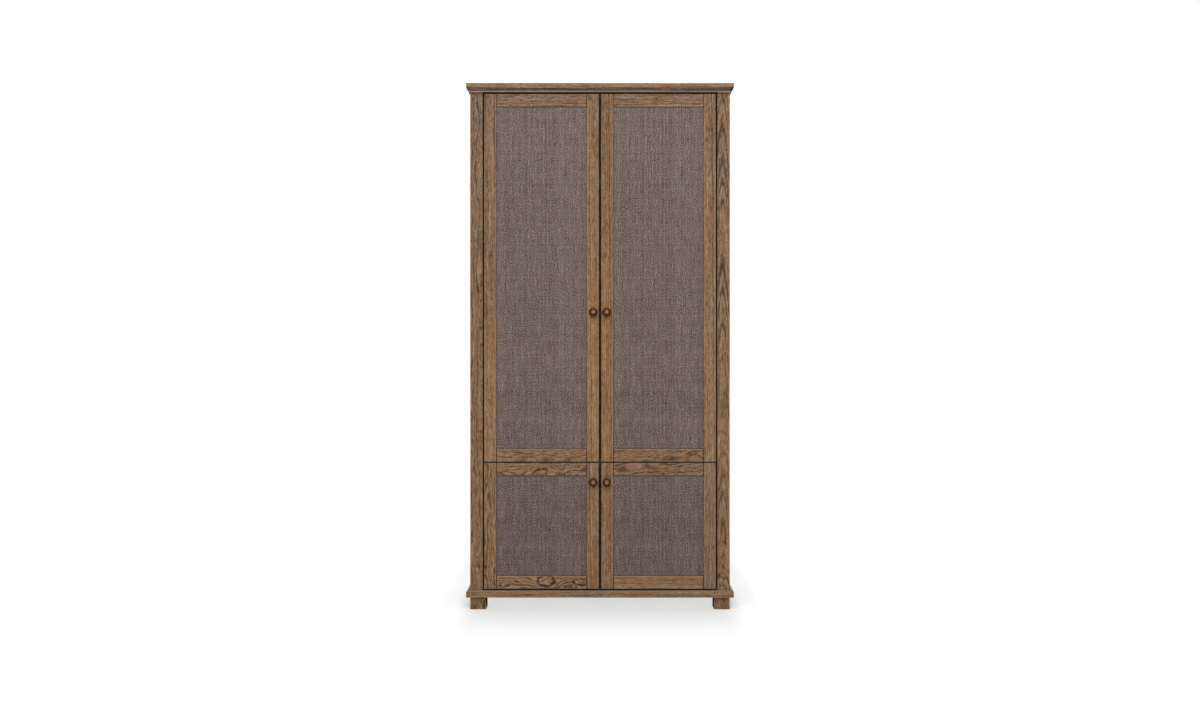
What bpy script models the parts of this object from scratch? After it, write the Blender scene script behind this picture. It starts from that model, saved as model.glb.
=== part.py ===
"""Tall cabinet in stained oak with two tall doors above two short ones.

Each door is a grooved oak frame round a linen-covered panel and swings on pivot pins. Units are
metres and +Z is up. The front faces -Y, and the origin is the middle of the floor under the whole
piece, knobs included.
"""
import math

import bmesh
import bpy
from mathutils import Matrix

# Whole cabinet
TOTAL_HEIGHT = 2.000
CARCASS_WIDTH = 0.988          # across the outer faces of the posts
CARCASS_DEPTH = 0.436          # front faces of the posts to the flush back
GAP = 0.0003                   # between neighbouring pieces
ARRIS = 0.0008                 # eased edges of the planed timber

# Feet and base board
FOOT_SIZE = 0.060
FOOT_HEIGHT = 0.048
BASE_OVERHANG = 0.014
BASE_FACE = 0.021              # upright part of the board's edge
BASE_SLOPE_RISE = 0.0065
BASE_SLOPE_RUN = 0.010

# Cornice and top
CORNICE_OVERHANG = 0.014
CORNICE_HEIGHT = 0.034
CORNICE_FASCIA = 0.0165        # upright face above the ogee
CORNICE_BEAD = 0.0045          # small bead along the lower edge
CORNICE_BEAD_OVERHANG = 0.0050
TOP_BOARD_THICKNESS = 0.020
TOP_BOARD_REBATE = 0.008

# Posts, sides and back
POST_SIZE = 0.048
CARCASS_GROOVE = 0.008         # depth of the grooves in posts and side rails
SIDE_RAIL_HEIGHT = 0.070
SIDE_RAIL_THICKNESS = 0.024
SIDE_RAIL_SETBACK = 0.006      # behind the outer faces of the posts
SIDE_PANEL_THICKNESS = 0.014
SIDE_PANEL_SETBACK = 0.010
BACK_PANEL_THICKNESS = 0.008
BACK_PANEL_SETBACK = 0.016     # in front of the back of the posts

# Shelves
SHELF_THICKNESS = 0.020
SHELF_HOUSING = 0.004          # depth of the housings in the side panels
FIXED_SHELF_SETBACK = 0.028    # behind the front of the posts, clear of the swinging doors
LOOSE_SHELF_SETBACK = 0.040
LOOSE_SHELVES = 3

# Doors
DOOR_THICKNESS = 0.022
LOWER_DOOR_HEIGHT = 0.4797
DOOR_BOTTOM_GAP = 0.0032
DOOR_MIDDLE_GAP = 0.0036
DOOR_TOP_GAP = 0.0035
DOOR_SIDE_GAP = 0.004
DOOR_MEETING_GAP = 0.005
STILE_WIDTH = 0.046
RAIL_HEIGHT = 0.048
DOOR_GROOVE = 0.008            # depth of the grooves round the panel
PANEL_THICKNESS = 0.006
LINEN_THICKNESS = 0.001
LINEN_SETBACK = 0.004          # behind the front of the door frame
LINEN_REVEAL = 0.0015          # dark line between frame and linen
HINGE_EDGE_RADIUS = 0.003
HINGE_EDGE_STEPS = 4

# Pivot hinges
PIVOT_INSET = 0.010            # axis to the hinge edge of the door
PIVOT_DEPTH = 0.010            # axis behind the front of the door
PIN_RADIUS = 0.003
PIN_LENGTH = 0.012             # inside the stile
COLLAR_RADIUS = 0.0045
PLATE_THICKNESS = 0.002
PLATE_WIDTH = 0.014
PLATE_LENGTH = 0.040           # end plates, from the axis backwards
PLATE_LET_IN = 0.018           # middle plate, into the edge of the fixed shelf

# Knobs
KNOB_RADIUS = 0.0165
KNOB_REACH = 0.028             # door face to the top of the dome
KNOB_ROSE_RADIUS = 0.0085
KNOB_ROSE_HEIGHT = 0.0025
KNOB_NECK_RADIUS = 0.006
KNOB_NECK_HEIGHT = 0.012       # door face to the underside of the head
KNOB_RIM_HEIGHT = 0.004
KNOB_DOME_RADIUS = 0.0125
KNOB_STUD_RADIUS = 0.002
KNOB_STUD_LENGTH = 0.014
UPPER_KNOB_HEIGHT = 0.569      # above the bottom of the upper door
LOWER_KNOB_DROP = 0.073        # below the top of the lower door

# Magnetic catches
CATCH_LENGTH = 0.060
CATCH_DEPTH = 0.018
CATCH_HEIGHT = 0.014
CATCH_GAP = 0.001              # behind the backs of the closed doors

# Facets
ROUND_STEPS = 16               # pins and holes
KNOB_STEPS = 24
KNOB_CURVE_STEPS = 4           # in the flare and the dome of a knob
OGEE_STEPS = 10
BEAD_STEPS = 6
SMOOTH_ANGLE = 35              # degrees; sharper edges stay crisp when a piece is shaded smooth

# How far the plain finishes look like metal
METALLIC = 0.9

# Places worked out from the sizes above
FRONT = (KNOB_REACH - CARCASS_DEPTH) / 2
BACK = FRONT + CARCASS_DEPTH
HALF_WIDTH = CARCASS_WIDTH / 2
HALF_OPENING = HALF_WIDTH - POST_SIZE
BASE_TOP = FOOT_HEIGHT + BASE_FACE + BASE_SLOPE_RISE
CORNICE_BOTTOM = TOTAL_HEIGHT - CORNICE_HEIGHT
TOP_BOARD_BOTTOM = TOTAL_HEIGHT - TOP_BOARD_THICKNESS
DOOR_WIDTH = HALF_OPENING - DOOR_SIDE_GAP - DOOR_MEETING_GAP / 2
LOWER_DOOR_BOTTOM = BASE_TOP + DOOR_BOTTOM_GAP
LOWER_DOOR_TOP = LOWER_DOOR_BOTTOM + LOWER_DOOR_HEIGHT
UPPER_DOOR_BOTTOM = LOWER_DOOR_TOP + DOOR_MIDDLE_GAP
UPPER_DOOR_TOP = CORNICE_BOTTOM - DOOR_TOP_GAP
MIDDLE_HEIGHT = (LOWER_DOOR_TOP + UPPER_DOOR_BOTTOM) / 2
FIXED_SHELF_BOTTOM = MIDDLE_HEIGHT - SHELF_THICKNESS / 2
PIVOT_X = HALF_OPENING - DOOR_SIDE_GAP - PIVOT_INSET
PIVOT_Y = FRONT + PIVOT_DEPTH
SIDE_PANEL_INNER = HALF_WIDTH - SIDE_PANEL_SETBACK - SIDE_PANEL_THICKNESS
BACK_PANEL_FRONT = BACK - BACK_PANEL_SETBACK - BACK_PANEL_THICKNESS

# The two coordinates of an outline that is carried along x, y or z
PLANES = {"x": "yz", "y": "xz", "z": "xy"}

# How a bevel's section bulges: halfway is a flat chamfer, or a round one with more segments
BEVEL_PROFILE = 0.5


def clear_scene():
    """Remove every object of the open scene."""
    for thing in list(bpy.data.objects):
        bpy.data.objects.remove(thing, do_unlink=True)


def make_finish(name, colour, roughness, metallic=0.0):
    """A Principled material; the colour is linear red, green and blue."""
    finish = bpy.data.materials.new(name)
    finish.use_nodes = True
    shader = finish.node_tree.nodes["Principled BSDF"]
    shader.inputs["Base Color"].default_value = (*colour, 1.0)
    shader.inputs["Roughness"].default_value = roughness
    shader.inputs["Metallic"].default_value = metallic
    return finish


def add_piece(name, mesh, finish, parent=None, smooth=False):
    """Turn a bmesh into a named object, under its door's empty if it has one."""
    data = bpy.data.meshes.new(name)
    bmesh.ops.recalc_face_normals(mesh, faces=mesh.faces)
    mesh.to_mesh(data)
    mesh.free()
    data.materials.append(finish)
    if smooth:
        data.shade_smooth()
        data.set_sharp_from_angle(angle=math.radians(SMOOTH_ANGLE))
    piece = bpy.data.objects.new(name, data)
    bpy.context.collection.objects.link(piece)
    piece.parent = parent
    return piece


def add_tool(piece, mesh, operation):
    """Cut a hidden shape out of a piece, or fuse it on, with an exact Boolean."""
    count = len(piece.modifiers)
    tool = add_piece(f"{piece.name}_tool_{count}", mesh, piece.data.materials[0], piece.parent)
    tool.hide_render = True
    tool.display_type = "WIRE"
    boolean = piece.modifiers.new(f"{operation.lower()}_{count}", "BOOLEAN")
    boolean.operation = operation
    boolean.solver = "EXACT"
    boolean.object = tool


def grooved(low, high, grooves=()):
    """Corners of a rectangle whose sides carry square grooves.

    Each groove is (side, start, stop, depth). The sides are "low_b", "high_a", "high_b" and
    "low_a"; start and stop are coordinates along the side, and depth goes into the rectangle.
    """
    (a0, b0), (a1, b1) = low, high
    ordered = sorted(grooves, key=lambda groove: groove[1])
    points = [(a0, b0)]
    for _, start, stop, depth in [g for g in ordered if g[0] == "low_b"]:
        points += [(start, b0), (start, b0 + depth), (stop, b0 + depth), (stop, b0)]
    points.append((a1, b0))
    for _, start, stop, depth in [g for g in ordered if g[0] == "high_a"]:
        points += [(a1, start), (a1 - depth, start), (a1 - depth, stop), (a1, stop)]
    points.append((a1, b1))
    for _, start, stop, depth in reversed([g for g in ordered if g[0] == "high_b"]):
        points += [(stop, b1), (stop, b1 - depth), (start, b1 - depth), (start, b1)]
    points.append((a0, b1))
    for _, start, stop, depth in reversed([g for g in ordered if g[0] == "low_a"]):
        points += [(a0, stop), (a0 + depth, stop), (a0 + depth, start), (a0, start)]
    return points


def prism(outline, along, start, stop):
    """Carry an outline straight along x, y or z."""
    first, second = ("xyz".index(letter) for letter in PLANES[along])
    third = "xyz".index(along)
    mesh = bmesh.new()
    corners = []
    for a, b in outline:
        place = [0.0, 0.0, 0.0]
        place[first], place[second], place[third] = a, b, start
        corners.append(mesh.verts.new(place))
    cap = mesh.faces.new(corners)
    grown = bmesh.ops.extrude_face_region(mesh, geom=[cap])
    far_end = [item for item in grown["geom"] if isinstance(item, bmesh.types.BMVert)]
    step = [0.0, 0.0, 0.0]
    step[third] = stop - start
    bmesh.ops.translate(mesh, vec=step, verts=far_end)
    return mesh


def block(low, high):
    """A rectangular block between two opposite corners."""
    return prism(grooved(low[:2], high[:2]), "z", low[2], high[2])


def layered(rings):
    """A closed solid through rings of points that have equal counts, bottom to top."""
    mesh = bmesh.new()
    loops = [[mesh.verts.new(point) for point in ring] for ring in rings]
    for below, above in zip(loops, loops[1:]):
        for index in range(len(below)):
            following = (index + 1) % len(below)
            mesh.faces.new((below[index], below[following], above[following], above[index]))
    mesh.faces.new(loops[0])
    mesh.faces.new(loops[-1])
    return mesh


def turned(profile, steps, direction="z"):
    """Spin a profile of (radius, height) points that starts and ends on the axis."""
    mesh = bmesh.new()
    points = [mesh.verts.new((radius, 0.0, height)) for radius, height in profile]
    edges = [mesh.edges.new(pair) for pair in zip(points, points[1:])]
    bmesh.ops.spin(
        mesh, geom=points + edges, cent=(0, 0, 0), axis=(0, 0, 1), angle=math.tau,
        steps=steps, use_merge=True,
    )
    bmesh.ops.remove_doubles(mesh, verts=mesh.verts, dist=1e-6)
    if direction == "-y":
        mesh.transform(Matrix.Rotation(math.radians(90), 4, "X"))
    return mesh


def moved(mesh, x, y, z):
    """The same mesh, shifted."""
    mesh.transform(Matrix.Translation((x, y, z)))
    return mesh


def ease(mesh, width=ARRIS):
    """Chamfer the arrises: the edges that lie on two faces of the piece's own box."""
    spans = []
    for axis in range(3):
        values = [vert.co[axis] for vert in mesh.verts]
        spans.append((min(values), max(values)))
    tolerance = width / 100
    arrises = []
    for edge in mesh.edges:
        faces = 0
        for axis, limits in enumerate(spans):
            for limit in limits:
                if all(abs(vert.co[axis] - limit) < tolerance for vert in edge.verts):
                    faces += 1
        if faces == 2:
            arrises.append(edge)
    bmesh.ops.bevel(
        mesh, geom=arrises, offset=width, offset_type="OFFSET", segments=1,
        profile=BEVEL_PROFILE, affect="EDGES",
    )
    return mesh


def round_upright(mesh, x, y, radius, segments):
    """Round the upright edge that stands at x, y."""
    edges = []
    for edge in mesh.edges:
        if all(math.hypot(vert.co.x - x, vert.co.y - y) < radius / 100 for vert in edge.verts):
            edges.append(edge)
    bmesh.ops.bevel(
        mesh, geom=edges, offset=radius, offset_type="OFFSET", segments=segments,
        profile=BEVEL_PROFILE, affect="EDGES",
    )
    return mesh


def add_feet(finish):
    """Four square block feet, flush with the outer faces of the posts."""
    for side, hand in (("left", -1), ("right", 1)):
        outer = hand * HALF_WIDTH
        inner = hand * (HALF_WIDTH - FOOT_SIZE)
        for end, start in (("front", FRONT), ("back", BACK - FOOT_SIZE)):
            low = (min(outer, inner), start, 0.0)
            high = (max(outer, inner), start + FOOT_SIZE, FOOT_HEIGHT - GAP)
            add_piece(f"foot_{end}_{side}", ease(block(low, high)), finish)


def base_ring(overhang, height):
    """Corners of the base board's outline at one height; the back stays flush."""
    half = HALF_WIDTH + overhang
    return [
        (-half, FRONT - overhang, height),
        (half, FRONT - overhang, height),
        (half, BACK, height),
        (-half, BACK, height),
    ]


def add_base_board(finish):
    """One thick board whose front and side edges slope in above an upright face."""
    rings = [
        base_ring(BASE_OVERHANG - ARRIS, FOOT_HEIGHT),
        base_ring(BASE_OVERHANG, FOOT_HEIGHT + ARRIS),
        base_ring(BASE_OVERHANG, FOOT_HEIGHT + BASE_FACE),
        base_ring(BASE_OVERHANG - BASE_SLOPE_RUN, BASE_TOP),
    ]
    board = add_piece("base_board", layered(rings), finish)
    for hand in (-1, 1):
        recess = plate_shape(hand, PLATE_LENGTH, GAP, BASE_TOP - PLATE_THICKNESS - GAP, BASE_TOP + GAP)
        add_tool(board, recess, "DIFFERENCE")


def cornice_section():
    """The moulding's outline as (outward, height) points, outward from the posts' outer plane."""
    ogee_bottom = CORNICE_BOTTOM + CORNICE_BEAD
    ogee_height = TOTAL_HEIGHT - CORNICE_FASCIA - ogee_bottom
    ogee_reach = CORNICE_OVERHANG - CORNICE_BEAD_OVERHANG
    points = [
        (CORNICE_OVERHANG - ARRIS, TOTAL_HEIGHT),
        (CORNICE_OVERHANG, TOTAL_HEIGHT - ARRIS),
    ]
    for step in range(OGEE_STEPS + 1):
        share = step / OGEE_STEPS
        reach = CORNICE_BEAD_OVERHANG + ogee_reach * (1 + math.cos(math.pi * share)) / 2
        points.append((reach, ogee_bottom + ogee_height * (1 - share)))
    for step in range(1, BEAD_STEPS + 1):
        angle = math.pi * step / (BEAD_STEPS + 1)
        reach = CORNICE_BEAD_OVERHANG + CORNICE_BEAD / 4 * math.sin(angle)
        points.append((reach, ogee_bottom - CORNICE_BEAD / 2 * (1 - math.cos(angle))))
    points += [
        (CORNICE_BEAD_OVERHANG, CORNICE_BOTTOM),
        (-POST_SIZE, CORNICE_BOTTOM),
        (-POST_SIZE, TOP_BOARD_BOTTOM - GAP),
        (-POST_SIZE + TOP_BOARD_REBATE, TOP_BOARD_BOTTOM - GAP),
        (-POST_SIZE + TOP_BOARD_REBATE, TOTAL_HEIGHT),
    ]
    return points


def add_cornice(finish):
    """Front and side mouldings, mitred at the front corners, with a rebate for the top board."""
    section = cornice_section()
    trim = GAP / math.sqrt(2)
    ends = []
    for hand in (-1, 1):
        ends.append([(hand * (HALF_WIDTH + out - trim), FRONT - out, high) for out, high in section])
    front = add_piece("cornice_front", layered(ends), finish)
    for hand in (-1, 1):
        recess = plate_shape(
            hand, PLATE_LENGTH, GAP, CORNICE_BOTTOM - GAP, CORNICE_BOTTOM + PLATE_THICKNESS + GAP
        )
        add_tool(front, recess, "DIFFERENCE")
    for side, hand in (("left", -1), ("right", 1)):
        mitre = [(hand * (HALF_WIDTH + out), FRONT - out + trim, high) for out, high in section]
        square = [(hand * (HALF_WIDTH + out), BACK, high) for out, high in section]
        add_piece(f"cornice_{side}", layered([mitre, square]), finish)


def add_top_board(finish):
    """The top board, flush with the cornice and lying in its rebates."""
    reach = HALF_OPENING + TOP_BOARD_REBATE - GAP
    low = (-reach, FRONT + POST_SIZE - TOP_BOARD_REBATE + GAP, TOP_BOARD_BOTTOM)
    high = (reach, BACK, TOTAL_HEIGHT)
    add_piece("top_board", ease(block(low, high)), finish)


def panel_slot(hand):
    """Inner and outer x of the groove that holds a side panel, lower value first."""
    inner = hand * (SIDE_PANEL_INNER - GAP)
    outer = hand * (SIDE_PANEL_INNER + SIDE_PANEL_THICKNESS + GAP)
    return min(inner, outer), max(inner, outer)


def add_posts(finish):
    """Four posts between base and cornice, grooved for the sides and the back."""
    for side, hand in (("left", -1), ("right", 1)):
        outer = hand * HALF_WIDTH
        inner = hand * HALF_OPENING
        slot = panel_slot(hand)
        bottom = BASE_TOP + GAP
        top = CORNICE_BOTTOM - GAP
        front = grooved(
            (min(outer, inner), FRONT), (max(outer, inner), FRONT + POST_SIZE),
            [("high_b", *slot, CARCASS_GROOVE)],
        )
        add_piece(f"post_front_{side}", ease(prism(front, "z", bottom, top)), finish)
        inward = "high_a" if hand < 0 else "low_a"
        back_slot = (BACK_PANEL_FRONT - GAP, BACK_PANEL_FRONT + BACK_PANEL_THICKNESS + GAP)
        back = grooved(
            (min(outer, inner), BACK - POST_SIZE), (max(outer, inner), BACK),
            [("low_b", *slot, CARCASS_GROOVE), (inward, *back_slot, CARCASS_GROOVE)],
        )
        add_piece(f"post_back_{side}", ease(prism(back, "z", bottom, top)), finish)


def shelf_heights():
    """Undersides of the fixed shelf and of the loose shelves above it, evenly spaced."""
    room = TOP_BOARD_BOTTOM - FIXED_SHELF_BOTTOM - SHELF_THICKNESS
    pitch = (room + SHELF_THICKNESS) / (LOOSE_SHELVES + 1)
    return [FIXED_SHELF_BOTTOM + pitch * index for index in range(LOOSE_SHELVES + 1)]


def add_sides(finish, panel_finish):
    """A panel and two rails on each side, tongued into the posts."""
    rail_bottoms = {
        "bottom": BASE_TOP + GAP,
        "top": CORNICE_BOTTOM - GAP - SIDE_RAIL_HEIGHT,
    }
    start = FRONT + POST_SIZE
    stop = BACK - POST_SIZE
    reach = CARCASS_GROOVE - GAP
    for side, hand in (("left", -1), ("right", 1)):
        slot = panel_slot(hand)
        outer = hand * (HALF_WIDTH - SIDE_RAIL_SETBACK)
        inner = hand * (HALF_WIDTH - SIDE_RAIL_SETBACK - SIDE_RAIL_THICKNESS)
        for level, bottom in rail_bottoms.items():
            top = bottom + SIDE_RAIL_HEIGHT
            edge = "high_b" if level == "bottom" else "low_b"
            outline = grooved(
                (min(outer, inner), bottom), (max(outer, inner), top),
                [(edge, *slot, CARCASS_GROOVE)],
            )
            rail = add_piece(
                f"side_rail_{level}_{side}",
                ease(prism(outline, "y", start + GAP, stop - GAP)), finish,
            )
            tongue_low = bottom if level == "bottom" else bottom + CARCASS_GROOVE
            tongue_high = top - CARCASS_GROOVE if level == "bottom" else top
            low = (slot[0] + GAP, start - reach, tongue_low + GAP)
            high = (slot[1] - GAP, stop + reach, tongue_high - GAP)
            add_tool(rail, block(low, high), "UNION")
        inward = "high_a" if hand < 0 else "low_a"
        housings = []
        for height in shelf_heights():
            housings.append((inward, height - GAP, height + SHELF_THICKNESS + GAP, SHELF_HOUSING))
        low = rail_bottoms["bottom"] + SIDE_RAIL_HEIGHT - reach
        high = rail_bottoms["top"] + reach
        outline = grooved((slot[0] + GAP, low), (slot[1] - GAP, high), housings)
        panel = prism(outline, "y", start - reach, stop + reach)
        add_piece(f"side_panel_{side}", panel, panel_finish)


def add_back_panel(finish):
    """The back board, grooved into the back posts and narrower between the cornice pieces."""
    wide = HALF_OPENING + CARCASS_GROOVE - GAP
    narrow = HALF_OPENING - GAP
    bottom = BASE_TOP + GAP
    shoulder = CORNICE_BOTTOM - GAP
    top = TOP_BOARD_BOTTOM - GAP
    outline = [
        (-wide, bottom), (wide, bottom), (wide, shoulder), (narrow, shoulder),
        (narrow, top), (-narrow, top), (-narrow, shoulder), (-wide, shoulder),
    ]
    board = prism(outline, "y", BACK_PANEL_FRONT, BACK_PANEL_FRONT + BACK_PANEL_THICKNESS)
    add_piece("back_panel", board, finish)


def shelf_outline(setback):
    """A shelf that is housed in the side panels and notched round the four posts."""
    wide = SIDE_PANEL_INNER + SHELF_HOUSING - GAP
    narrow = HALF_OPENING - GAP
    front = FRONT + setback
    front_notch = FRONT + POST_SIZE + GAP
    back_notch = BACK - POST_SIZE - GAP
    back = BACK_PANEL_FRONT - GAP
    half = [
        (narrow, front), (narrow, front_notch), (wide, front_notch),
        (wide, back_notch), (narrow, back_notch), (narrow, back),
    ]
    return half + [(-x, y) for x, y in reversed(half)]


def add_shelves(finish):
    """The fixed shelf between the two pairs of doors, and the loose shelves above it."""
    heights = shelf_heights()
    outline = shelf_outline(FIXED_SHELF_SETBACK)
    fixed = prism(outline, "z", heights[0], heights[0] + SHELF_THICKNESS)
    shelf = add_piece("fixed_shelf", fixed, finish)
    for hand in (-1, 1):
        low, high = middle_plate_levels()
        recess = plate_shape(hand, middle_plate_length() + GAP, GAP, low - GAP, high + GAP)
        add_tool(shelf, recess, "DIFFERENCE")
    for index, height in enumerate(heights[1:], start=1):
        outline = shelf_outline(LOOSE_SHELF_SETBACK)
        loose = prism(outline, "z", height, height + SHELF_THICKNESS)
        add_piece(f"shelf_{index}", loose, finish)


def plate_shape(hand, length, grow, low, high):
    """A pivot plate's body: round about the axis and straight from there to the back."""
    centre_x = hand * PIVOT_X
    radius = PLATE_WIDTH / 2 + grow
    back = PIVOT_Y + length + grow
    outline = []
    for step in range(ROUND_STEPS // 2 + 1):
        angle = math.pi + math.pi * step / (ROUND_STEPS // 2)
        outline.append((centre_x + radius * math.cos(angle), PIVOT_Y + radius * math.sin(angle)))
    outline += [(centre_x + radius, back), (centre_x - radius, back)]
    return prism(outline, "z", low, high)


def middle_plate_levels():
    """Lower and upper face of the middle pivot plate, halfway up the gap between the doors."""
    return MIDDLE_HEIGHT - PLATE_THICKNESS / 2, MIDDLE_HEIGHT + PLATE_THICKNESS / 2


def middle_plate_length():
    """Axis to the back end of the middle plate, let into the edge of the fixed shelf."""
    return FIXED_SHELF_SETBACK + PLATE_LET_IN - PIVOT_DEPTH


def pin_profile(inside, tips):
    """A pin as (radius, height) points: its root inside the plate, its collar and its tip.

    The tips list holds (plate face, door face, direction) for each pin; two pins share a root.
    """
    profile = []
    for face, door, direction in tips:
        reach = door + direction * PIN_LENGTH
        collar = door - direction * GAP
        chamfer = reach - direction * PIN_RADIUS / 3
        profile.append([
            (0.0, reach), (PIN_RADIUS * 2 / 3, reach), (PIN_RADIUS, chamfer),
            (PIN_RADIUS, collar), (COLLAR_RADIUS, collar), (COLLAR_RADIUS, face),
        ])
    if len(profile) == 1:
        return profile[0] + [(COLLAR_RADIUS, inside), (0.0, inside)]
    return profile[0] + profile[1][::-1]


def add_pivots(finish):
    """Bottom, middle and top pivot plates on both sides, each with its pins and collars."""
    low, high = middle_plate_levels()
    for side, hand in (("left", -1), ("right", 1)):
        levels = {
            "bottom": (
                (BASE_TOP - PLATE_THICKNESS, BASE_TOP), PLATE_LENGTH,
                BASE_TOP - PLATE_THICKNESS / 2, [(BASE_TOP, LOWER_DOOR_BOTTOM, 1)],
            ),
            "middle": (
                (low, high), middle_plate_length(), MIDDLE_HEIGHT,
                [(low, LOWER_DOOR_TOP, -1), (high, UPPER_DOOR_BOTTOM, 1)],
            ),
            "top": (
                (CORNICE_BOTTOM, CORNICE_BOTTOM + PLATE_THICKNESS), PLATE_LENGTH,
                CORNICE_BOTTOM + PLATE_THICKNESS / 2, [(CORNICE_BOTTOM, UPPER_DOOR_TOP, -1)],
            ),
        }
        for level, (faces, length, inside, tips) in levels.items():
            plate = add_piece(
                f"pivot_{level}_{side}", plate_shape(hand, length, 0.0, *faces), finish, smooth=True
            )
            pin = turned(pin_profile(inside, tips), ROUND_STEPS)
            add_tool(plate, moved(pin, hand * PIVOT_X, PIVOT_Y, 0.0), "UNION")


def add_catches(finish):
    """A double magnetic catch behind the meeting stiles of each pair of doors."""
    front = FRONT + DOOR_THICKNESS + CATCH_GAP
    for level, ceiling in (("upper", CORNICE_BOTTOM), ("lower", FIXED_SHELF_BOTTOM)):
        low = (-CATCH_LENGTH / 2, front, ceiling - GAP - CATCH_HEIGHT)
        high = (CATCH_LENGTH / 2, front + CATCH_DEPTH, ceiling - GAP)
        add_piece(f"magnetic_catch_{level}", ease(block(low, high)), finish)


def knob_profile():
    """A knob as (radius, height) points above the door face, from its stud to its dome."""
    rim_bottom = KNOB_NECK_HEIGHT + (KNOB_RADIUS - KNOB_NECK_RADIUS) / 2
    rim_top = rim_bottom + KNOB_RIM_HEIGHT
    points = [
        (0.0, -KNOB_STUD_LENGTH), (KNOB_STUD_RADIUS, -KNOB_STUD_LENGTH), (KNOB_STUD_RADIUS, GAP),
        (KNOB_ROSE_RADIUS, GAP), (KNOB_ROSE_RADIUS, KNOB_ROSE_HEIGHT),
        (KNOB_NECK_RADIUS, KNOB_ROSE_HEIGHT + (KNOB_ROSE_RADIUS - KNOB_NECK_RADIUS)),
        (KNOB_NECK_RADIUS, KNOB_NECK_HEIGHT),
    ]
    steps = KNOB_CURVE_STEPS
    for step in range(1, steps):
        angle = math.pi / 2 * step / steps
        radius = KNOB_RADIUS - (KNOB_RADIUS - KNOB_NECK_RADIUS) * math.cos(angle)
        points.append((radius, KNOB_NECK_HEIGHT + (rim_bottom - KNOB_NECK_HEIGHT) * math.sin(angle)))
    rim_round = KNOB_RIM_HEIGHT / 4
    points += [
        (KNOB_RADIUS, rim_bottom + rim_round), (KNOB_RADIUS, rim_top - rim_round),
        (KNOB_RADIUS - rim_round, rim_top), (KNOB_DOME_RADIUS + rim_round, rim_top),
        (KNOB_DOME_RADIUS, rim_top - rim_round),
    ]
    dome = KNOB_REACH - rim_top + rim_round
    for step in range(1, steps + 1):
        angle = math.pi / 2 * step / steps
        radius = KNOB_DOME_RADIUS * math.cos(angle) if step < steps else 0.0
        points.append((radius, rim_top - rim_round + dome * math.sin(angle)))
    return points


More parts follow.
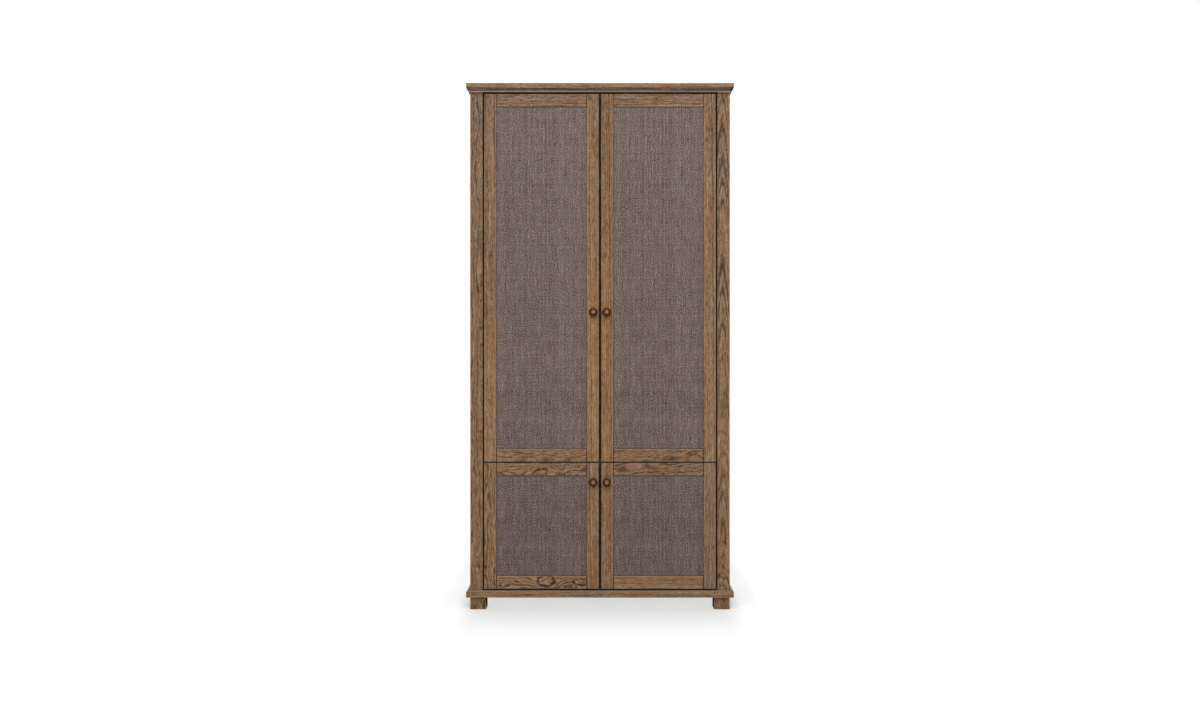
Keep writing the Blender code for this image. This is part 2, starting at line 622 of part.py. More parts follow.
def add_door(name, hand, bottom, height, knob_height, finishes):
    """One framed door under an empty on its pivot axis.

    Hand is 1 for a left door, which reaches to +X from its axis, and -1 for a right one. The
    door's own coordinates start on the axis, at the height of the door's lower edge.
    """
    axis = bpy.data.objects.new(f"{name}_door", None)
    bpy.context.collection.objects.link(axis)
    axis.location = (-hand * PIVOT_X, PIVOT_Y, bottom)
    oak, board_finish, linen, brass = finishes
    face = -PIVOT_DEPTH
    rear = face + DOOR_THICKNESS
    panel_face = face + LINEN_SETBACK + LINEN_THICKNESS + GAP
    slot = (panel_face - GAP, panel_face + PANEL_THICKNESS + GAP)
    hinge_edge = -PIVOT_INSET
    hinge_inner = hinge_edge + STILE_WIDTH
    meeting_inner = hinge_edge + DOOR_WIDTH - STILE_WIDTH
    meeting_edge = hinge_edge + DOOR_WIDTH

    def across(first, second):
        """Two places across the door as x values, lower value first."""
        return sorted((hand * first, hand * second))

    stiles = {
        "hinge": (hinge_edge, hinge_inner, "high_a" if hand > 0 else "low_a"),
        "meeting": (meeting_inner, meeting_edge, "low_a" if hand > 0 else "high_a"),
    }
    for role, (near, far, grooved_side) in stiles.items():
        low, high = across(near, far)
        outline = grooved((low, face), (high, rear), [(grooved_side, *slot, DOOR_GROOVE)])
        mesh = prism(outline, "z", 0.0, height)
        if role == "hinge":
            round_upright(mesh, hand * hinge_edge, face, HINGE_EDGE_RADIUS, HINGE_EDGE_STEPS)
        stile = add_piece(f"{name}_{role}_stile", ease(mesh), oak, axis)
        if role == "hinge":
            for level, direction in ((0.0, 1), (height, -1)):
                reach = level + direction * (PIN_LENGTH + GAP)
                hole = [
                    (0.0, reach), (PIN_RADIUS + GAP, reach),
                    (PIN_RADIUS + GAP, level - direction * GAP), (0.0, level - direction * GAP),
                ]
                add_tool(stile, turned(hole, ROUND_STEPS), "DIFFERENCE")
        else:
            socket = [
                (0.0, -KNOB_STUD_LENGTH - GAP), (KNOB_STUD_RADIUS + GAP, -KNOB_STUD_LENGTH - GAP),
                (KNOB_STUD_RADIUS + GAP, GAP), (0.0, GAP),
            ]
            knob_x = hand * (meeting_inner + meeting_edge) / 2
            hole = moved(turned(socket, ROUND_STEPS, "-y"), knob_x, face, knob_height)
            add_tool(stile, hole, "DIFFERENCE")
            knob = moved(turned(knob_profile(), KNOB_STEPS, "-y"), knob_x, face, knob_height)
            add_piece(f"{name}_knob", knob, brass, axis, smooth=True)

    low, high = across(hinge_inner + GAP, meeting_inner - GAP)
    tongue_low, tongue_high = across(
        hinge_inner - DOOR_GROOVE + GAP, meeting_inner + DOOR_GROOVE - GAP
    )
    rails = {"bottom": (0.0, "high_b"), "top": (height - RAIL_HEIGHT, "low_b")}
    for role, (start, edge) in rails.items():
        outline = grooved(
            (face, start), (rear, start + RAIL_HEIGHT), [(edge, *slot, DOOR_GROOVE)]
        )
        rail = add_piece(f"{name}_{role}_rail", ease(prism(outline, "x", low, high)), oak, axis)
        first = start + (ARRIS if role == "bottom" else DOOR_GROOVE + ARRIS)
        last = start + RAIL_HEIGHT - (ARRIS if role == "top" else DOOR_GROOVE + ARRIS)
        tenon = block((tongue_low, slot[0] + GAP, first), (tongue_high, slot[1] - GAP, last))
        add_tool(rail, tenon, "UNION")

    reach = DOOR_GROOVE - GAP
    board = block(
        (tongue_low, panel_face, RAIL_HEIGHT - reach),
        (tongue_high, panel_face + PANEL_THICKNESS, height - RAIL_HEIGHT + reach),
    )
    add_piece(f"{name}_panel", board, board_finish, axis)
    low, high = across(hinge_inner + LINEN_REVEAL, meeting_inner - LINEN_REVEAL)
    cloth = block(
        (low, face + LINEN_SETBACK, RAIL_HEIGHT + LINEN_REVEAL),
        (high, face + LINEN_SETBACK + LINEN_THICKNESS, height - RAIL_HEIGHT - LINEN_REVEAL),
    )
    add_piece(f"{name}_linen", cloth, linen, axis)


def build_cabinet():
    """Make every finish and every piece."""
    clear_scene()
    oak = make_finish("stained_oak", (0.235, 0.145, 0.083), 0.55)
    board = make_finish("oak_veneered_board", (0.200, 0.125, 0.075), 0.60)
    linen = make_finish("mauve_grey_linen", (0.174, 0.129, 0.115), 0.90)
    brass = make_finish("antique_brass", (0.170, 0.095, 0.045), 0.38, METALLIC)
    steel = make_finish("bronzed_steel", (0.085, 0.065, 0.050), 0.45, METALLIC)
    catch = make_finish("brown_plastic_catch", (0.060, 0.040, 0.028), 0.50)
    add_feet(oak)
    add_base_board(oak)
    add_posts(oak)
    add_sides(oak, board)
    add_back_panel(board)
    add_shelves(board)
    add_cornice(oak)
    add_top_board(oak)
    add_pivots(steel)
    add_catches(catch)
    finishes = (oak, board, linen, brass)
    upper_height = UPPER_DOOR_TOP - UPPER_DOOR_BOTTOM
    for side, hand in (("left", 1), ("right", -1)):
        add_door(
            f"upper_{side}", hand, UPPER_DOOR_BOTTOM, upper_height, UPPER_KNOB_HEIGHT, finishes
        )
        add_door(
            f"lower_{side}", hand, LOWER_DOOR_BOTTOM, LOWER_DOOR_HEIGHT,
            LOWER_DOOR_HEIGHT - LOWER_KNOB_DROP, finishes,
        )


build_cabinet()
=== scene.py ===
"""The looks of a tall cabinet in smoked oak with linen door panels.

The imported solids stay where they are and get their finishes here. The linen, the knobs and the
small hardware are new surfaces, each worked out with numpy on a grid of two parameters. Lengths
are metres, and those inside the patterns and the small pieces are millimetres.
"""

from __future__ import annotations

import sys
import logging
import math
from dataclasses import dataclass, replace
from enum import Enum
from functools import cached_property

import bpy
import numpy as np
from mathutils import Euler, Matrix, Vector


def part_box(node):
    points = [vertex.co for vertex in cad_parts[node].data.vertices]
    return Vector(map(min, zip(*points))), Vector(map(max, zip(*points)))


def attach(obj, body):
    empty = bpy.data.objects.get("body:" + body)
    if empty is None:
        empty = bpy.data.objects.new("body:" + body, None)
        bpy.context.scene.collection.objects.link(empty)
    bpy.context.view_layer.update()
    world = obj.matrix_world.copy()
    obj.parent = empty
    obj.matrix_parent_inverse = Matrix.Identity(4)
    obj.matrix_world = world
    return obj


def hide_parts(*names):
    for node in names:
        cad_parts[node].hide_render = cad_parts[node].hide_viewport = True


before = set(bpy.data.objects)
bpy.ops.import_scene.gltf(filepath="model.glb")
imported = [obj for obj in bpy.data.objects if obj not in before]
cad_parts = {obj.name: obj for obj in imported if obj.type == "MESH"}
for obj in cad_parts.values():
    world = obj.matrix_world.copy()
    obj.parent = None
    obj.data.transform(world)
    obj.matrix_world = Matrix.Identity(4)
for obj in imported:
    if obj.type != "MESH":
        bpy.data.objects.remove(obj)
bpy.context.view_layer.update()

LOG = logging.getLogger("cabinet")
MM = 0.001
PER_MM = (1 / MM,) * 3  # turns metres into millimetres
AXES = ("X", "Y", "Z")
UP, FRONT = Vector((0.0, 0.0, 1.0)), Vector((0.0, -1.0, 0.0))
SIDES, LEVELS = ("left", "right"), ("upper", "lower")
SHARP = math.radians(42)  # faces that meet at more than this are shaded as an edge
MEETING_STAIN_AND_SHADE = 1.3 * MM  # stain and painted gap shade reach this much wider where the doors meet
BASE_STAIN_AND_SHADE = 0.7 * MM  # the base's this much
CORNICE_STAIN_AND_SHADE = 1.4 * MM  # the cornice's this much
FOOT_NARROWING = 1.0 * MM  # and those at the doors' feet this much narrower

Stops = tuple[tuple[float, float], ...]
Shades = tuple[tuple[float, str], ...]
NONE: Stops = ((0.0, 0.0), (40.0, 0.0))


def linear(code: str) -> tuple[float, float, float, float]:
    """Turn an sRGB colour into the linear values that a shader takes.

    Args:
        code: the colour as a hex string such as "#86694f".

    Returns:
        Linear red, green, blue and an alpha of 1.
    """
    channels = [int(code[start:start + 2], 16) / 255 for start in (1, 3, 5)]
    bent = [c / 12.92 if c <= 0.04045 else ((c + 0.055) / 1.055) ** 2.4 for c in channels]
    return bent[0], bent[1], bent[2], 1.0


class Graph:
    """The node tree of a material or of the world."""

    def __init__(self, owner: bpy.types.ID, shader: str = "Principled BSDF") -> None:
        """Open the tree.

        Args:
            owner: the material or the world.
            shader: the name of its shader node.
        """
        owner.use_nodes = True
        self.owner, self.tree = owner, owner.node_tree
        self.shader = self.tree.nodes[shader]

    @cached_property
    def point(self) -> object:
        """The point in the object's coordinates, which are the cabinet's own, in metres."""
        return self.add("TexCoord", out="Object")

    def add(self, kind: str, *feeds: object, out: object = None, **settings: object) -> object:
        """Add a node with its settings and links.

        Args:
            kind: the node's type without its ShaderNode prefix, and after a colon its operation.
            feeds: constants or sockets for the first inputs, in order.
            out: the output to hand back, or a tuple of them, or None for the first one in use.
            settings: a capitalised key is an input, stops are a ramp's (place, colour or grey)
                pairs, and any other key is a property of the node.

        Returns:
            The chosen output socket or sockets.
        """
        kind, _, operation = kind.partition(":")
        node = self.tree.nodes.new("ShaderNode" + kind)
        if operation:
            node.operation = operation
        inputs = dict(enumerate(feeds))
        for key, value in settings.items():
            if key == "stops":
                ramp = node.color_ramp.elements
                while len(ramp) < len(value):
                    ramp.new(1.0)
                for element, (place, colour) in zip(ramp, value):
                    element.position = place
                    element.color = (
                        linear(colour) if isinstance(colour, str) else (colour,) * 3 + (1.0,)
                    )
            elif key[0].isupper():
                inputs[key.replace("_", " ")] = value
            else:
                setattr(node, key, value)
        for key, value in inputs.items():
            self.feed(node.inputs[key], value)
        if out is None:
            return next(socket for socket in node.outputs if socket.enabled)
        return node.outputs[out] if isinstance(out, str) else [node.outputs[key] for key in out]

    def chain(self, value: object, *steps: tuple) -> object:
        """Add nodes in a row, where each one's first input is the one before.

        Args:
            value: the first node's first input.
            steps: each node's kind, its further feeds, and a dictionary of settings if it has any.

        Returns:
            The last node's output.
        """
        for kind, *feeds in steps:
            settings = feeds.pop() if feeds and isinstance(feeds[-1], dict) else {}
            value = self.add(kind, value, *feeds, **settings)
        return value

    def inside(self, low: Vector, high: Vector) -> tuple[object, object]:
        """Measure where a point lies in a box.

        Args:
            low: the box's lowest corner.
            high: its highest corner.

        Returns:
            The place from the box's middle, and how deep it lies within each pair of the box's
            faces, both in mm.
        """
        shift = -(low + high) / (2 * MM)
        local = self.add("Mapping", self.point, Location=shift, Scale=PER_MM)
        depth = self.add("VectorMath:ABSOLUTE", local)
        return local, self.add("VectorMath:SUBTRACT", tuple((high - low) / (2 * MM)), depth)

    def feed(self, socket: object, value: object) -> None:
        """Link a socket to an input, or set the input to a constant."""
        if isinstance(value, bpy.types.NodeSocket):
            self.tree.links.new(value, socket)
        else:
            socket.default_value = value

    def finish(self, **inputs: object) -> bpy.types.ID:
        """Set the shader's inputs, with underscores for spaces, and hand back the tree's owner."""
        for key, value in inputs.items():
            self.feed(self.shader.inputs[key.replace("_", " ")], value)
        return self.owner


class Cut(Enum):
    """Where a board lay in its log: (sideways, behind the face) from the pith, in mm."""

    QUARTER = (190.0, 15.0)
    RIFT = (85.0, 70.0)
    CROWN = (2.0, 56.0)
    SLAB = (22.0, 40.0)


@dataclass(frozen=True)
class Eye:
    """A swelling in the log that shows as an oval on the front, in mm."""

    x: float  # the oval's middle across the cabinet
    z: float  # the oval's middle over the floor
    wide: float  # half its width
    high: float  # half its height
    swell: float  # how far the rings are pushed out
    rim: float = 0.0  # darkness of the bark line round it


@dataclass(frozen=True)
class Seam:
    """The upright rectangle of a door or of the cabinet's opening, along which the arrises take a
    dark stain, and painted shade fills the gaps.
    """

    low: Vector  # the lowest corner; its y is the face of the doors
    high: Vector  # the highest corner
    outer: bool  # whether the piece borders the rectangle from outside


@dataclass(frozen=True)
class Moulding:
    """Painted shade and painted sheen on a moulding, as (height in mm over its foot, share) stops.
    """

    foot: float  # height of the moulding's foot over the floor, in mm
    # painted shade, where the moulding faces down or lies under a fillet or the cornice
    painted_shade: Stops = NONE
    painted_sheen: Stops = NONE  # painted sheen: a grey highlight on a fillet, a bead or a sloping top
    end_shade: Stops = NONE  # painted shade on the front's two ends, past the posts
    streak: float = 0.5  # how unevenly the painted shade lies along the grain
    end: float = 494.6  # from the cabinet's middle to the posts' outer faces, in mm
    span: float = 40.0  # height that the stops are measured against, in mm

    def ramp(self, graph: Graph, height: object, stops: Stops) -> object:
        """Read a share off its (height, share) stops."""
        return graph.add("ValToRGB", height, stops=tuple((at / self.span, to) for at, to in stops))


@dataclass(frozen=True)
class Board:
    """How one piece of timber is cut and toned."""

    node: str  # the CAD node
    cut: Cut = Cut.RIFT
    seed: int = 0  # picks the stretch of log
    tone: float = 0.0  # lightness added to the whole board
    rise: float = 0.3  # slope in degrees of the rings towards the face, which gives arches
    lean: float = 0.4  # slope in degrees of the grain across the face
    swirl: float = 14.0  # how far the grain wanders, in mm
    wave: float = 0.2  # how fast it wanders along the board, as a share of across it
    heave: float = 0.0  # how far the rings rise and fall along the board, in mm
    taper: float = 0.0  # mm that the log thins by for each mm along, which nests the arches
    ring: float = 6.0  # width of a year's growth, in mm
    face: str = ""  # axis that the visible face looks along, or "" for the thinnest side
    along: str = ""  # axis that the grain runs along, or "" for the longest side
    wear_and_highlight: float = 0.6  # how pale the arrises are: wear from handling, and a painted highlight where light catches them
    contrast: float = 1.0  # strength of the ring lines
    fade: float = 0.0  # painted shade: lightness lost over each metre above its middle, against the lamps' sheen up there
    richness: float = 1.0  # how strong its colour is
    joint: tuple[str, float, float] | None = None  # axis, and places where a rail's stiles start
    leaf: float = 0.0  # width in mm of the book-matched veneer leaves, or 0 for solid wood
    seam: Seam | None = None  # the outline that the stain edges, if it borders one
    eyes: tuple[Eye, ...] = ()
    mould: Moulding | None = None
    inner: float = 0.0  # mm from the cabinet's middle, short of which the foot's side gets painted shade


@dataclass(frozen=True)
class Layer:
    """Noise in the grain."""

    size: float  # in mm across the grain
    drawn: float | None  # fineness along the grain as a share of across, or None for the wave's
    detail: float
    weight: float  # how much it lightens and darkens
    roughness: float = 0.5


@dataclass(frozen=True)
class SmokedOak:
    """Oak, planed, brushed, smoked and oiled.

    Brushing opens the soft early wood, which takes the stain darkest, so each growth ring shows
    as a dark line that fades into lighter late wood. Oil leaves a low satin sheen. The arrises
    are pale, partly from wear by handling and partly as a painted highlight.
    """

    layers: tuple[Layer, ...] = (
        Layer(4.4, 0.018, 3.0, 0.95, 0.7),  # fibres
        Layer(11.0, 0.018, 1.0, 0.28),  # bands
        Layer(55.0, None, 2.0, 0.20),  # clouds
        Layer(4.2, 0.18, 1.0, 0.80),  # flecks
        Layer(4.0, 0.5, 2.0, 0.70),  # specks
    )
    wander_mm: float = 42.0
    heave_mm: float = 150.0
    ragged_mm: tuple[float, float] = (6.0, 2.6)  # size and depth of the rings' raggedness
    years_mm: float = 17.0
    uneven: float = 2.6  # how many years good and bad ones shift the count by
    early: Stops = (  # openness of the wood over one year
        (0.00, 0.70), (0.08, 1.00), (0.24, 0.60), (0.48, 0.16), (0.84, 0.00), (1.00, 0.45),
    )
    shallow: float = 0.30  # openness of the faintest year
    early_dark: float = 0.46
    pore_mm: float = 1.5
    pore_dark: float = 0.20
    hue_mm: float = 24.0
    warmest: float = 1.24
    hues: tuple[float, float] = (0.5035, 0.4965)
    eye_rough: tuple[float, float] = (2.2, 0.55)  # fineness and depth of an eye's raggedness
    bark: tuple[float, float] = (0.04, 0.26)  # where the bark line is full and where it ends
    wear_mm: float = 2.2
    joint_mm: float = 3.3
    # reach of the stain from the arrises, and depth of the painted shade inside the gaps
    seam_mm: float = 1.1
    seam_depth_mm: float = 4.5
    upright: float = 1.18  # how many times thinner the stain and painted gap shade are along upright edges
    start: float = 0.58
    shades: Shades = (
        (0.00, "#342418"), (0.25, "#644c38"), (0.50, "#866951"), (0.75, "#9b7d62"),
        (1.00, "#b6997b"),
    )
    # pale colour of the arrises: wear, and painted highlight
    wear_and_highlight: str = "#b8946c"
    # dark of stain at joints and arrises, also painted shade in the gaps and inside the feet
    stain_and_shade: str = "#2a1506"
    # colour of the painted shade in mouldings
    shade_brown: str = "#312a24"
    # grey of the painted sheen
    sheen_grey: str = "#8b8a89"
    roughness: float = 0.55

    def place(self, board: Board, size: Vector) -> tuple[Matrix, Vector]:
        """Work out how a piece lies in its log.

        Args:
            board: the piece.
            size: the size of its box.

        Returns:
            The turn from the cabinet's axes to the log's (across, inwards, along), and the place
            of the piece's middle in the log in mm.
        """
        axes = range(3)
        along = AXES.index(board.along) if board.along else max(axes, key=lambda a: size[a])
        inwards = AXES.index(board.face) if board.face else min(
            (a for a in axes if a != along), key=lambda a: (round(size[a], 3), -a)
        )
        rows = [Vector(), Vector(), Vector()]
        rows[0][3 - along - inwards] = rows[1][inwards] = rows[2][along] = 1.0
        if Matrix(rows).determinant() < 0:
            rows[0] = -rows[0]
        rng = np.random.default_rng(board.seed + 17)
        tilt = Euler((math.radians(board.rise), math.radians(board.lean), 0.0)).to_matrix()
        sideways, behind = board.cut.value
        return tilt @ Matrix(rows), Vector((
            sideways * rng.choice((-1.0, 1.0)) + rng.uniform(-3, 3),
            behind + rng.uniform(-3, 3),
            rng.uniform(-900, 900),
        ))

    def edges(self, graph: Graph, low: Vector, high: Vector) -> object:
        """Measure how far a point is from the piece's arrises.

        Args:
            graph: the material's tree.
            low: the lowest corner of the piece's box.
            high: the highest corner.

        Returns:
            The distance to the nearest edge of the box in mm, which is the second smallest of
            the distances to its three pairs of faces.
        """
        x, y, z = graph.add("SeparateXYZ", graph.inside(low, high)[1], out=AXES)
        lesser, greater = graph.add("Math:MINIMUM", x, y), graph.add("Math:MAXIMUM", x, y)
        greater = graph.add("Math:MINIMUM", greater, z)
        return graph.add("Math:MAXIMUM", lesser, greater)

    def shoulder(self, graph: Graph, axis: str, low: float, high: float) -> object:
        """Measure how far a point is from the two shoulders of a rail.

        Args:
            graph: the material's tree.
            axis: the axis that the rail lies along.
            low: the place of the lower shoulder, in metres.
            high: the place of the higher one.

        Returns:
            The distance to the nearer shoulder in mm.
        """
        return graph.chain(
            graph.add("SeparateXYZ", graph.point, out=axis),
            ("Math:SUBTRACT", (low + high) / 2), ("Math:ABSOLUTE",),
            ("Math:SUBTRACT", (high - low) / 2), ("Math:ABSOLUTE",), ("Math:MULTIPLY", 1 / MM),
        )

    def outline(self, graph: Graph, seam: Seam) -> object:
        """Measure how far a point is from the upright outline of a door or an opening.

        Args:
            graph: the material's tree.
            seam: the outline.

        Returns:
            The distance from its nearest line in mm, below 0 on the far side of the line, or how
            far behind the doors' faces it is less the depth of the painted gap shade, where that
            is more.
        """
        local, depth = graph.inside(seam.low, seam.high)
        across, up = graph.add("SeparateXYZ", depth, out=("X", "Z"))
        nearest = graph.chain(
            across, ("Math:MULTIPLY", self.upright), ("Math:MINIMUM", up),
            ("Math:MULTIPLY", -1.0 if seam.outer else 1.0),
        )
        behind = graph.add("SeparateXYZ", local, out="Y")
        behind = graph.add("Math:SUBTRACT", behind, self.seam_depth_mm)
        return graph.add("Math:MAXIMUM", nearest, behind)

    def bulge(self, graph: Graph, eye: Eye) -> tuple[object, object]:
        """Find how an eye pushes the rings out, and its bark line.

        The push is swell times e to the power of minus the squared distance from the eye's
        middle, measured in its half sizes and roughened by noise. The line lies where that
        distance is 1.

        Args:
            graph: the material's tree.
            eye: the eye.

        Returns:
            The push in mm and the darkness of the line.
        """
        local = graph.add(
            "Mapping", graph.point, Location=(-eye.x / eye.wide, 0.0, -eye.z / eye.high),
            Scale=(1 / MM / eye.wide, 0.0, 1 / MM / eye.high),
        )
        fineness, depth = self.eye_rough
        away = graph.chain(
            local, ("TexNoise", {"Scale": fineness}), ("Math:SUBTRACT", 0.5),
            ("Math:MULTIPLY_ADD", depth, graph.add("VectorMath:LENGTH", local)),
        )
        push = graph.chain(
            away, ("Math:POWER", 2.0), ("Math:MULTIPLY", -1.0), ("Math:EXPONENT",),
            ("Math:MULTIPLY", eye.swell),
        )
        return push, graph.chain(
            away, ("Math:SUBTRACT", 1.0), ("Math:ABSOLUTE",),
            ("MapRange", *self.bark, eye.rim, 0.0),
        )

    def paint_moulding_light(self, graph: Graph, colour: object, streaks: object, mould: Moulding) -> object:
        """Paint shade and sheen over a moulding by height.

        Args:
            graph: the material's tree.
            colour: the wood's colour.
            streaks: noise along the grain that makes the painted shade uneven.
            mould: the moulding.

        Returns:
            The colour.
        """
        side, height = graph.add("SeparateXYZ", graph.point, out=("X", "Z"))
        height = graph.add("MapRange", height, mould.foot * MM, (mould.foot + mould.span) * MM)
        painted_shade, end_shade, painted_sheen = (
            mould.ramp(graph, height, stops) for stops in (mould.painted_shade, mould.end_shade, mould.painted_sheen)
        )
        past = graph.chain(side, ("Math:ABSOLUTE",), ("Math:GREATER_THAN", mould.end * MM))
        facing = graph.add("SeparateXYZ", graph.add("NewGeometry", out="Normal"), out="Y")
        facing = graph.add("MapRange", facing, -0.1, -0.4, 0.0, past)
        uneven = graph.add("MapRange", streaks, 0.38, 0.62, 1.0 - mould.streak, 1.0 + mould.streak)
        painted_shade = graph.add("Math:MULTIPLY", painted_shade, uneven)
        painted_shade = graph.add("Math:MULTIPLY_ADD", end_shade, facing, painted_shade, use_clamp=True)
        colour = graph.add("MixRGB", painted_shade, colour, linear(self.shade_brown))
        return graph.add("MixRGB", painted_sheen, colour, linear(self.sheen_grey))

    def stains_and_shade(self, graph: Graph, board: Board) -> list[object]:
        """Find the dark: painted shade in a foot, stain and gap shade by an outline, and a joint.

        Args:
            graph: the material's tree.
            board: the piece.

        Returns:
            The share of dark for each of the three that the piece has.
        """
        shares = []
        # Painted shade on the side of a foot that faces in under the cabinet.
        if board.inner:
            side = graph.chain(graph.add("SeparateXYZ", graph.point, out="X"), ("Math:ABSOLUTE",))
            shares.append((side, board.inner * MM, (board.inner + 1.5) * MM, 0.8, 0.0))
        # Stain along the arrises, and painted shade inside the gaps.
        if board.seam:
            outline = self.outline(graph, board.seam)
            shares.append((outline, self.seam_mm - 0.4, self.seam_mm + 0.4, 0.95, 0.0))
        if board.joint:
            ending = self.shoulder(graph, *board.joint)
            shares.append((ending, self.joint_mm / 2, self.joint_mm, 0.92, 0.0))
        return [graph.add("MapRange", *share) for share in shares]

    def bend(self, graph: Graph, board: Board, point: object, slow: object) -> tuple[object, list]:
        """Bend the log by slow noise, heaves along it and eyes.

        Args:
            graph: the material's tree.
            board: the piece.
            point: the place in the straight log, in mm.
            slow: the same, drawn out along the log.

        Returns:
            The place in the bent log in mm, and the darkness of each eye's bark line.
        """
        bent = graph.chain(
            slow, ("TexNoise", {"Scale": 1 / self.wander_mm, "Roughness": 0.45, "out": "Color"}),
            ("VectorMath:SUBTRACT", (0.5, 0.5, 0.5)),
            ("VectorMath:MULTIPLY_ADD", (board.swirl, board.swirl, 0.0), point),
        )
        pushes, bark = [], []
        if board.heave:
            pushes.append(graph.chain(
                point, ("VectorMath:MULTIPLY", (0.0, 0.0, 1.0)),
                ("TexNoise", {"Scale": 1 / self.heave_mm}),
                ("Math:MULTIPLY_ADD", board.heave * 2, -board.heave),
            ))
        for eye in board.eyes:
            push, line = self.bulge(graph, eye)
            pushes.append(push)
            bark.append(line)
        for push in pushes:
            bent = graph.add("VectorMath:ADD", graph.add("CombineXYZ", 0.0, push, 0.0), bent)
        return bent, bark

    def rings(self, graph: Graph, board: Board, bent: object) -> object:
        """Find how open the wood is, by its place in its year.

        A point's year is its distance from the pith, which taper shifts and fine noise roughens,
        over the width of a ring, plus slow noise for good and bad years.

        Args:
            graph: the material's tree.
            board: the piece.
            bent: the place in the bent log, in mm.

        Returns:
            The openness, times a random depth of the year's own.
        """
        radius = graph.chain(
            bent, ("VectorMath:MULTIPLY", (1.0, 1.0, 0.0)), ("VectorMath:LENGTH",),
        )
        if board.taper:
            height = graph.add("SeparateXYZ", bent, out="Z")
            radius = graph.add("Math:MULTIPLY_ADD", height, board.taper, radius)
        size, depth = self.ragged_mm
        radius = graph.chain(
            bent, ("VectorMath:MULTIPLY", (1.0, 1.0, 0.04)),
            ("TexNoise", {"Scale": 1 / size, "Detail": 3.0, "Roughness": 0.6}),
            ("Math:SUBTRACT", 0.5), ("Math:MULTIPLY_ADD", depth, radius),
        )
        years = graph.add("TexNoise", noise_dimensions="1D", W=radius, Scale=1 / self.years_mm)
        years = graph.add("Math:MULTIPLY", years, self.uneven)
        rings = graph.add("Math:MULTIPLY_ADD", radius, 1 / board.ring, years)
        count = graph.add("Math:FLOOR", rings)
        depth = graph.add("TexWhiteNoise", noise_dimensions="1D", W=count)
        depth = graph.add("MapRange", depth, 0.0, 1.0, self.shallow, 1.0)
        early = graph.chain(rings, ("Math:FRACT",), ("ValToRGB", {"stops": self.early}))
        return graph.add("Math:MULTIPLY", early, depth)

    def dress(self, board: Board) -> bpy.types.Material:
        """Make the material of one piece.

        Args:
            board: the piece and its cut.

        Returns:
            The material.
        """
        graph = Graph(bpy.data.materials.new(f"smoked_oak_{board.node}"))
        low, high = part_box(board.node)
        middle = (low + high) / 2
        turn, offset = self.place(board, high - low)
        point = graph.add(
            "Mapping", graph.point, Location=offset - turn @ (middle / MM),
            Rotation=turn.to_euler(), Scale=PER_MM,
        )
        if board.leaf:
            across, inwards, along = graph.add("SeparateXYZ", point, out=AXES)
            folded = graph.chain(
                across, ("Math:PINGPONG", board.leaf), ("Math:ADD", board.cut.value[0]),
            )
            point = graph.add("CombineXYZ", folded, inwards, along)
        slow = graph.add("VectorMath:MULTIPLY", point, (1.0, 1.0, board.wave))
        bent, bark = self.bend(graph, board, point, slow)
        early = self.rings(graph, board, bent)
        noises = []
        for layer in self.layers:
            drawn = slow if layer.drawn is None else graph.add(
                "VectorMath:MULTIPLY", bent, (1.0, 1.0, layer.drawn),
            )
            noises.append(graph.add(
                "TexNoise", drawn, Scale=1 / layer.size, Detail=layer.detail,
                Roughness=layer.roughness,
            ))
        fibre, band = noises[:2]
        pore = graph.chain(
            bent, ("VectorMath:MULTIPLY", (1.0, 1.0, 0.07)),
            ("TexNoise", {"Scale": 1 / self.pore_mm, "Detail": 1.0}), ("MapRange", 0.56, 0.70),
            ("Math:MULTIPLY", graph.add("Math:MULTIPLY_ADD", early, 0.75, 0.25)),
        )
        value = self.start + board.tone - sum(layer.weight for layer in self.layers) / 2
        # Painted shade: the board darker towards its top, against the lamps' sheen there.
        if board.fade:
            height = graph.add("SeparateXYZ", graph.point, out="Z")
            value += board.fade * middle.z
            value = graph.add("Math:MULTIPLY_ADD", height, -board.fade, value)
        darker = ((early, -self.early_dark * board.contrast), (pore, -self.pore_dark))
        for noise, weight in (*zip(noises, (layer.weight for layer in self.layers)), *darker):
            value = graph.add("Math:MULTIPLY_ADD", noise, weight, value)
        for line in bark:
            value = graph.add("Math:SUBTRACT", value, line)
        colour = graph.add("ValToRGB", value, stops=self.shades)
        hue = graph.add("TexNoise", slow, Scale=1 / self.hue_mm)
        richest = self.warmest * board.richness
        warmth = graph.add("MapRange", hue, 0.30, 0.70, board.richness, richest)
        turned = graph.add("MapRange", hue, 0.30, 0.70, *self.hues)
        colour = graph.add("HueSaturation", turned, warmth, 1.0, 1.0, colour)
        # Pale arrises: wear from handling, and a painted highlight where light catches them.
        ragged = graph.add("Math:MULTIPLY", fibre, self.wear_mm * 2)
        wear_and_highlight = graph.chain(
            self.edges(graph, low, high), ("Math:DIVIDE", ragged),
            ("MapRange", 0.3, 1.0, board.wear_and_highlight, 0.0),
        )
        colour = graph.add("MixRGB", wear_and_highlight, colour, linear(self.wear_and_highlight))
        # Painted shade and painted sheen on mouldings.
        if board.mould:
            colour = self.paint_moulding_light(graph, colour, band, board.mould)
        # Dark stain at joints and arrises, painted shade in the gaps and inside the feet.
        for share in self.stains_and_shade(graph, board):
            colour = graph.add("MixRGB", share, colour, linear(self.stain_and_shade))
        height = graph.add("Math:ADD", early, pore)
        bump = graph.add("Bump", Height=height, Strength=0.35, Distance=-0.25 * MM)
        shine = graph.add("Math:MULTIPLY_ADD", value, -0.20, self.roughness + 0.1)
        return graph.finish(
            Base_Color=colour, Roughness=shine, Normal=bump, Specular_IOR_Level=0.35,
        )


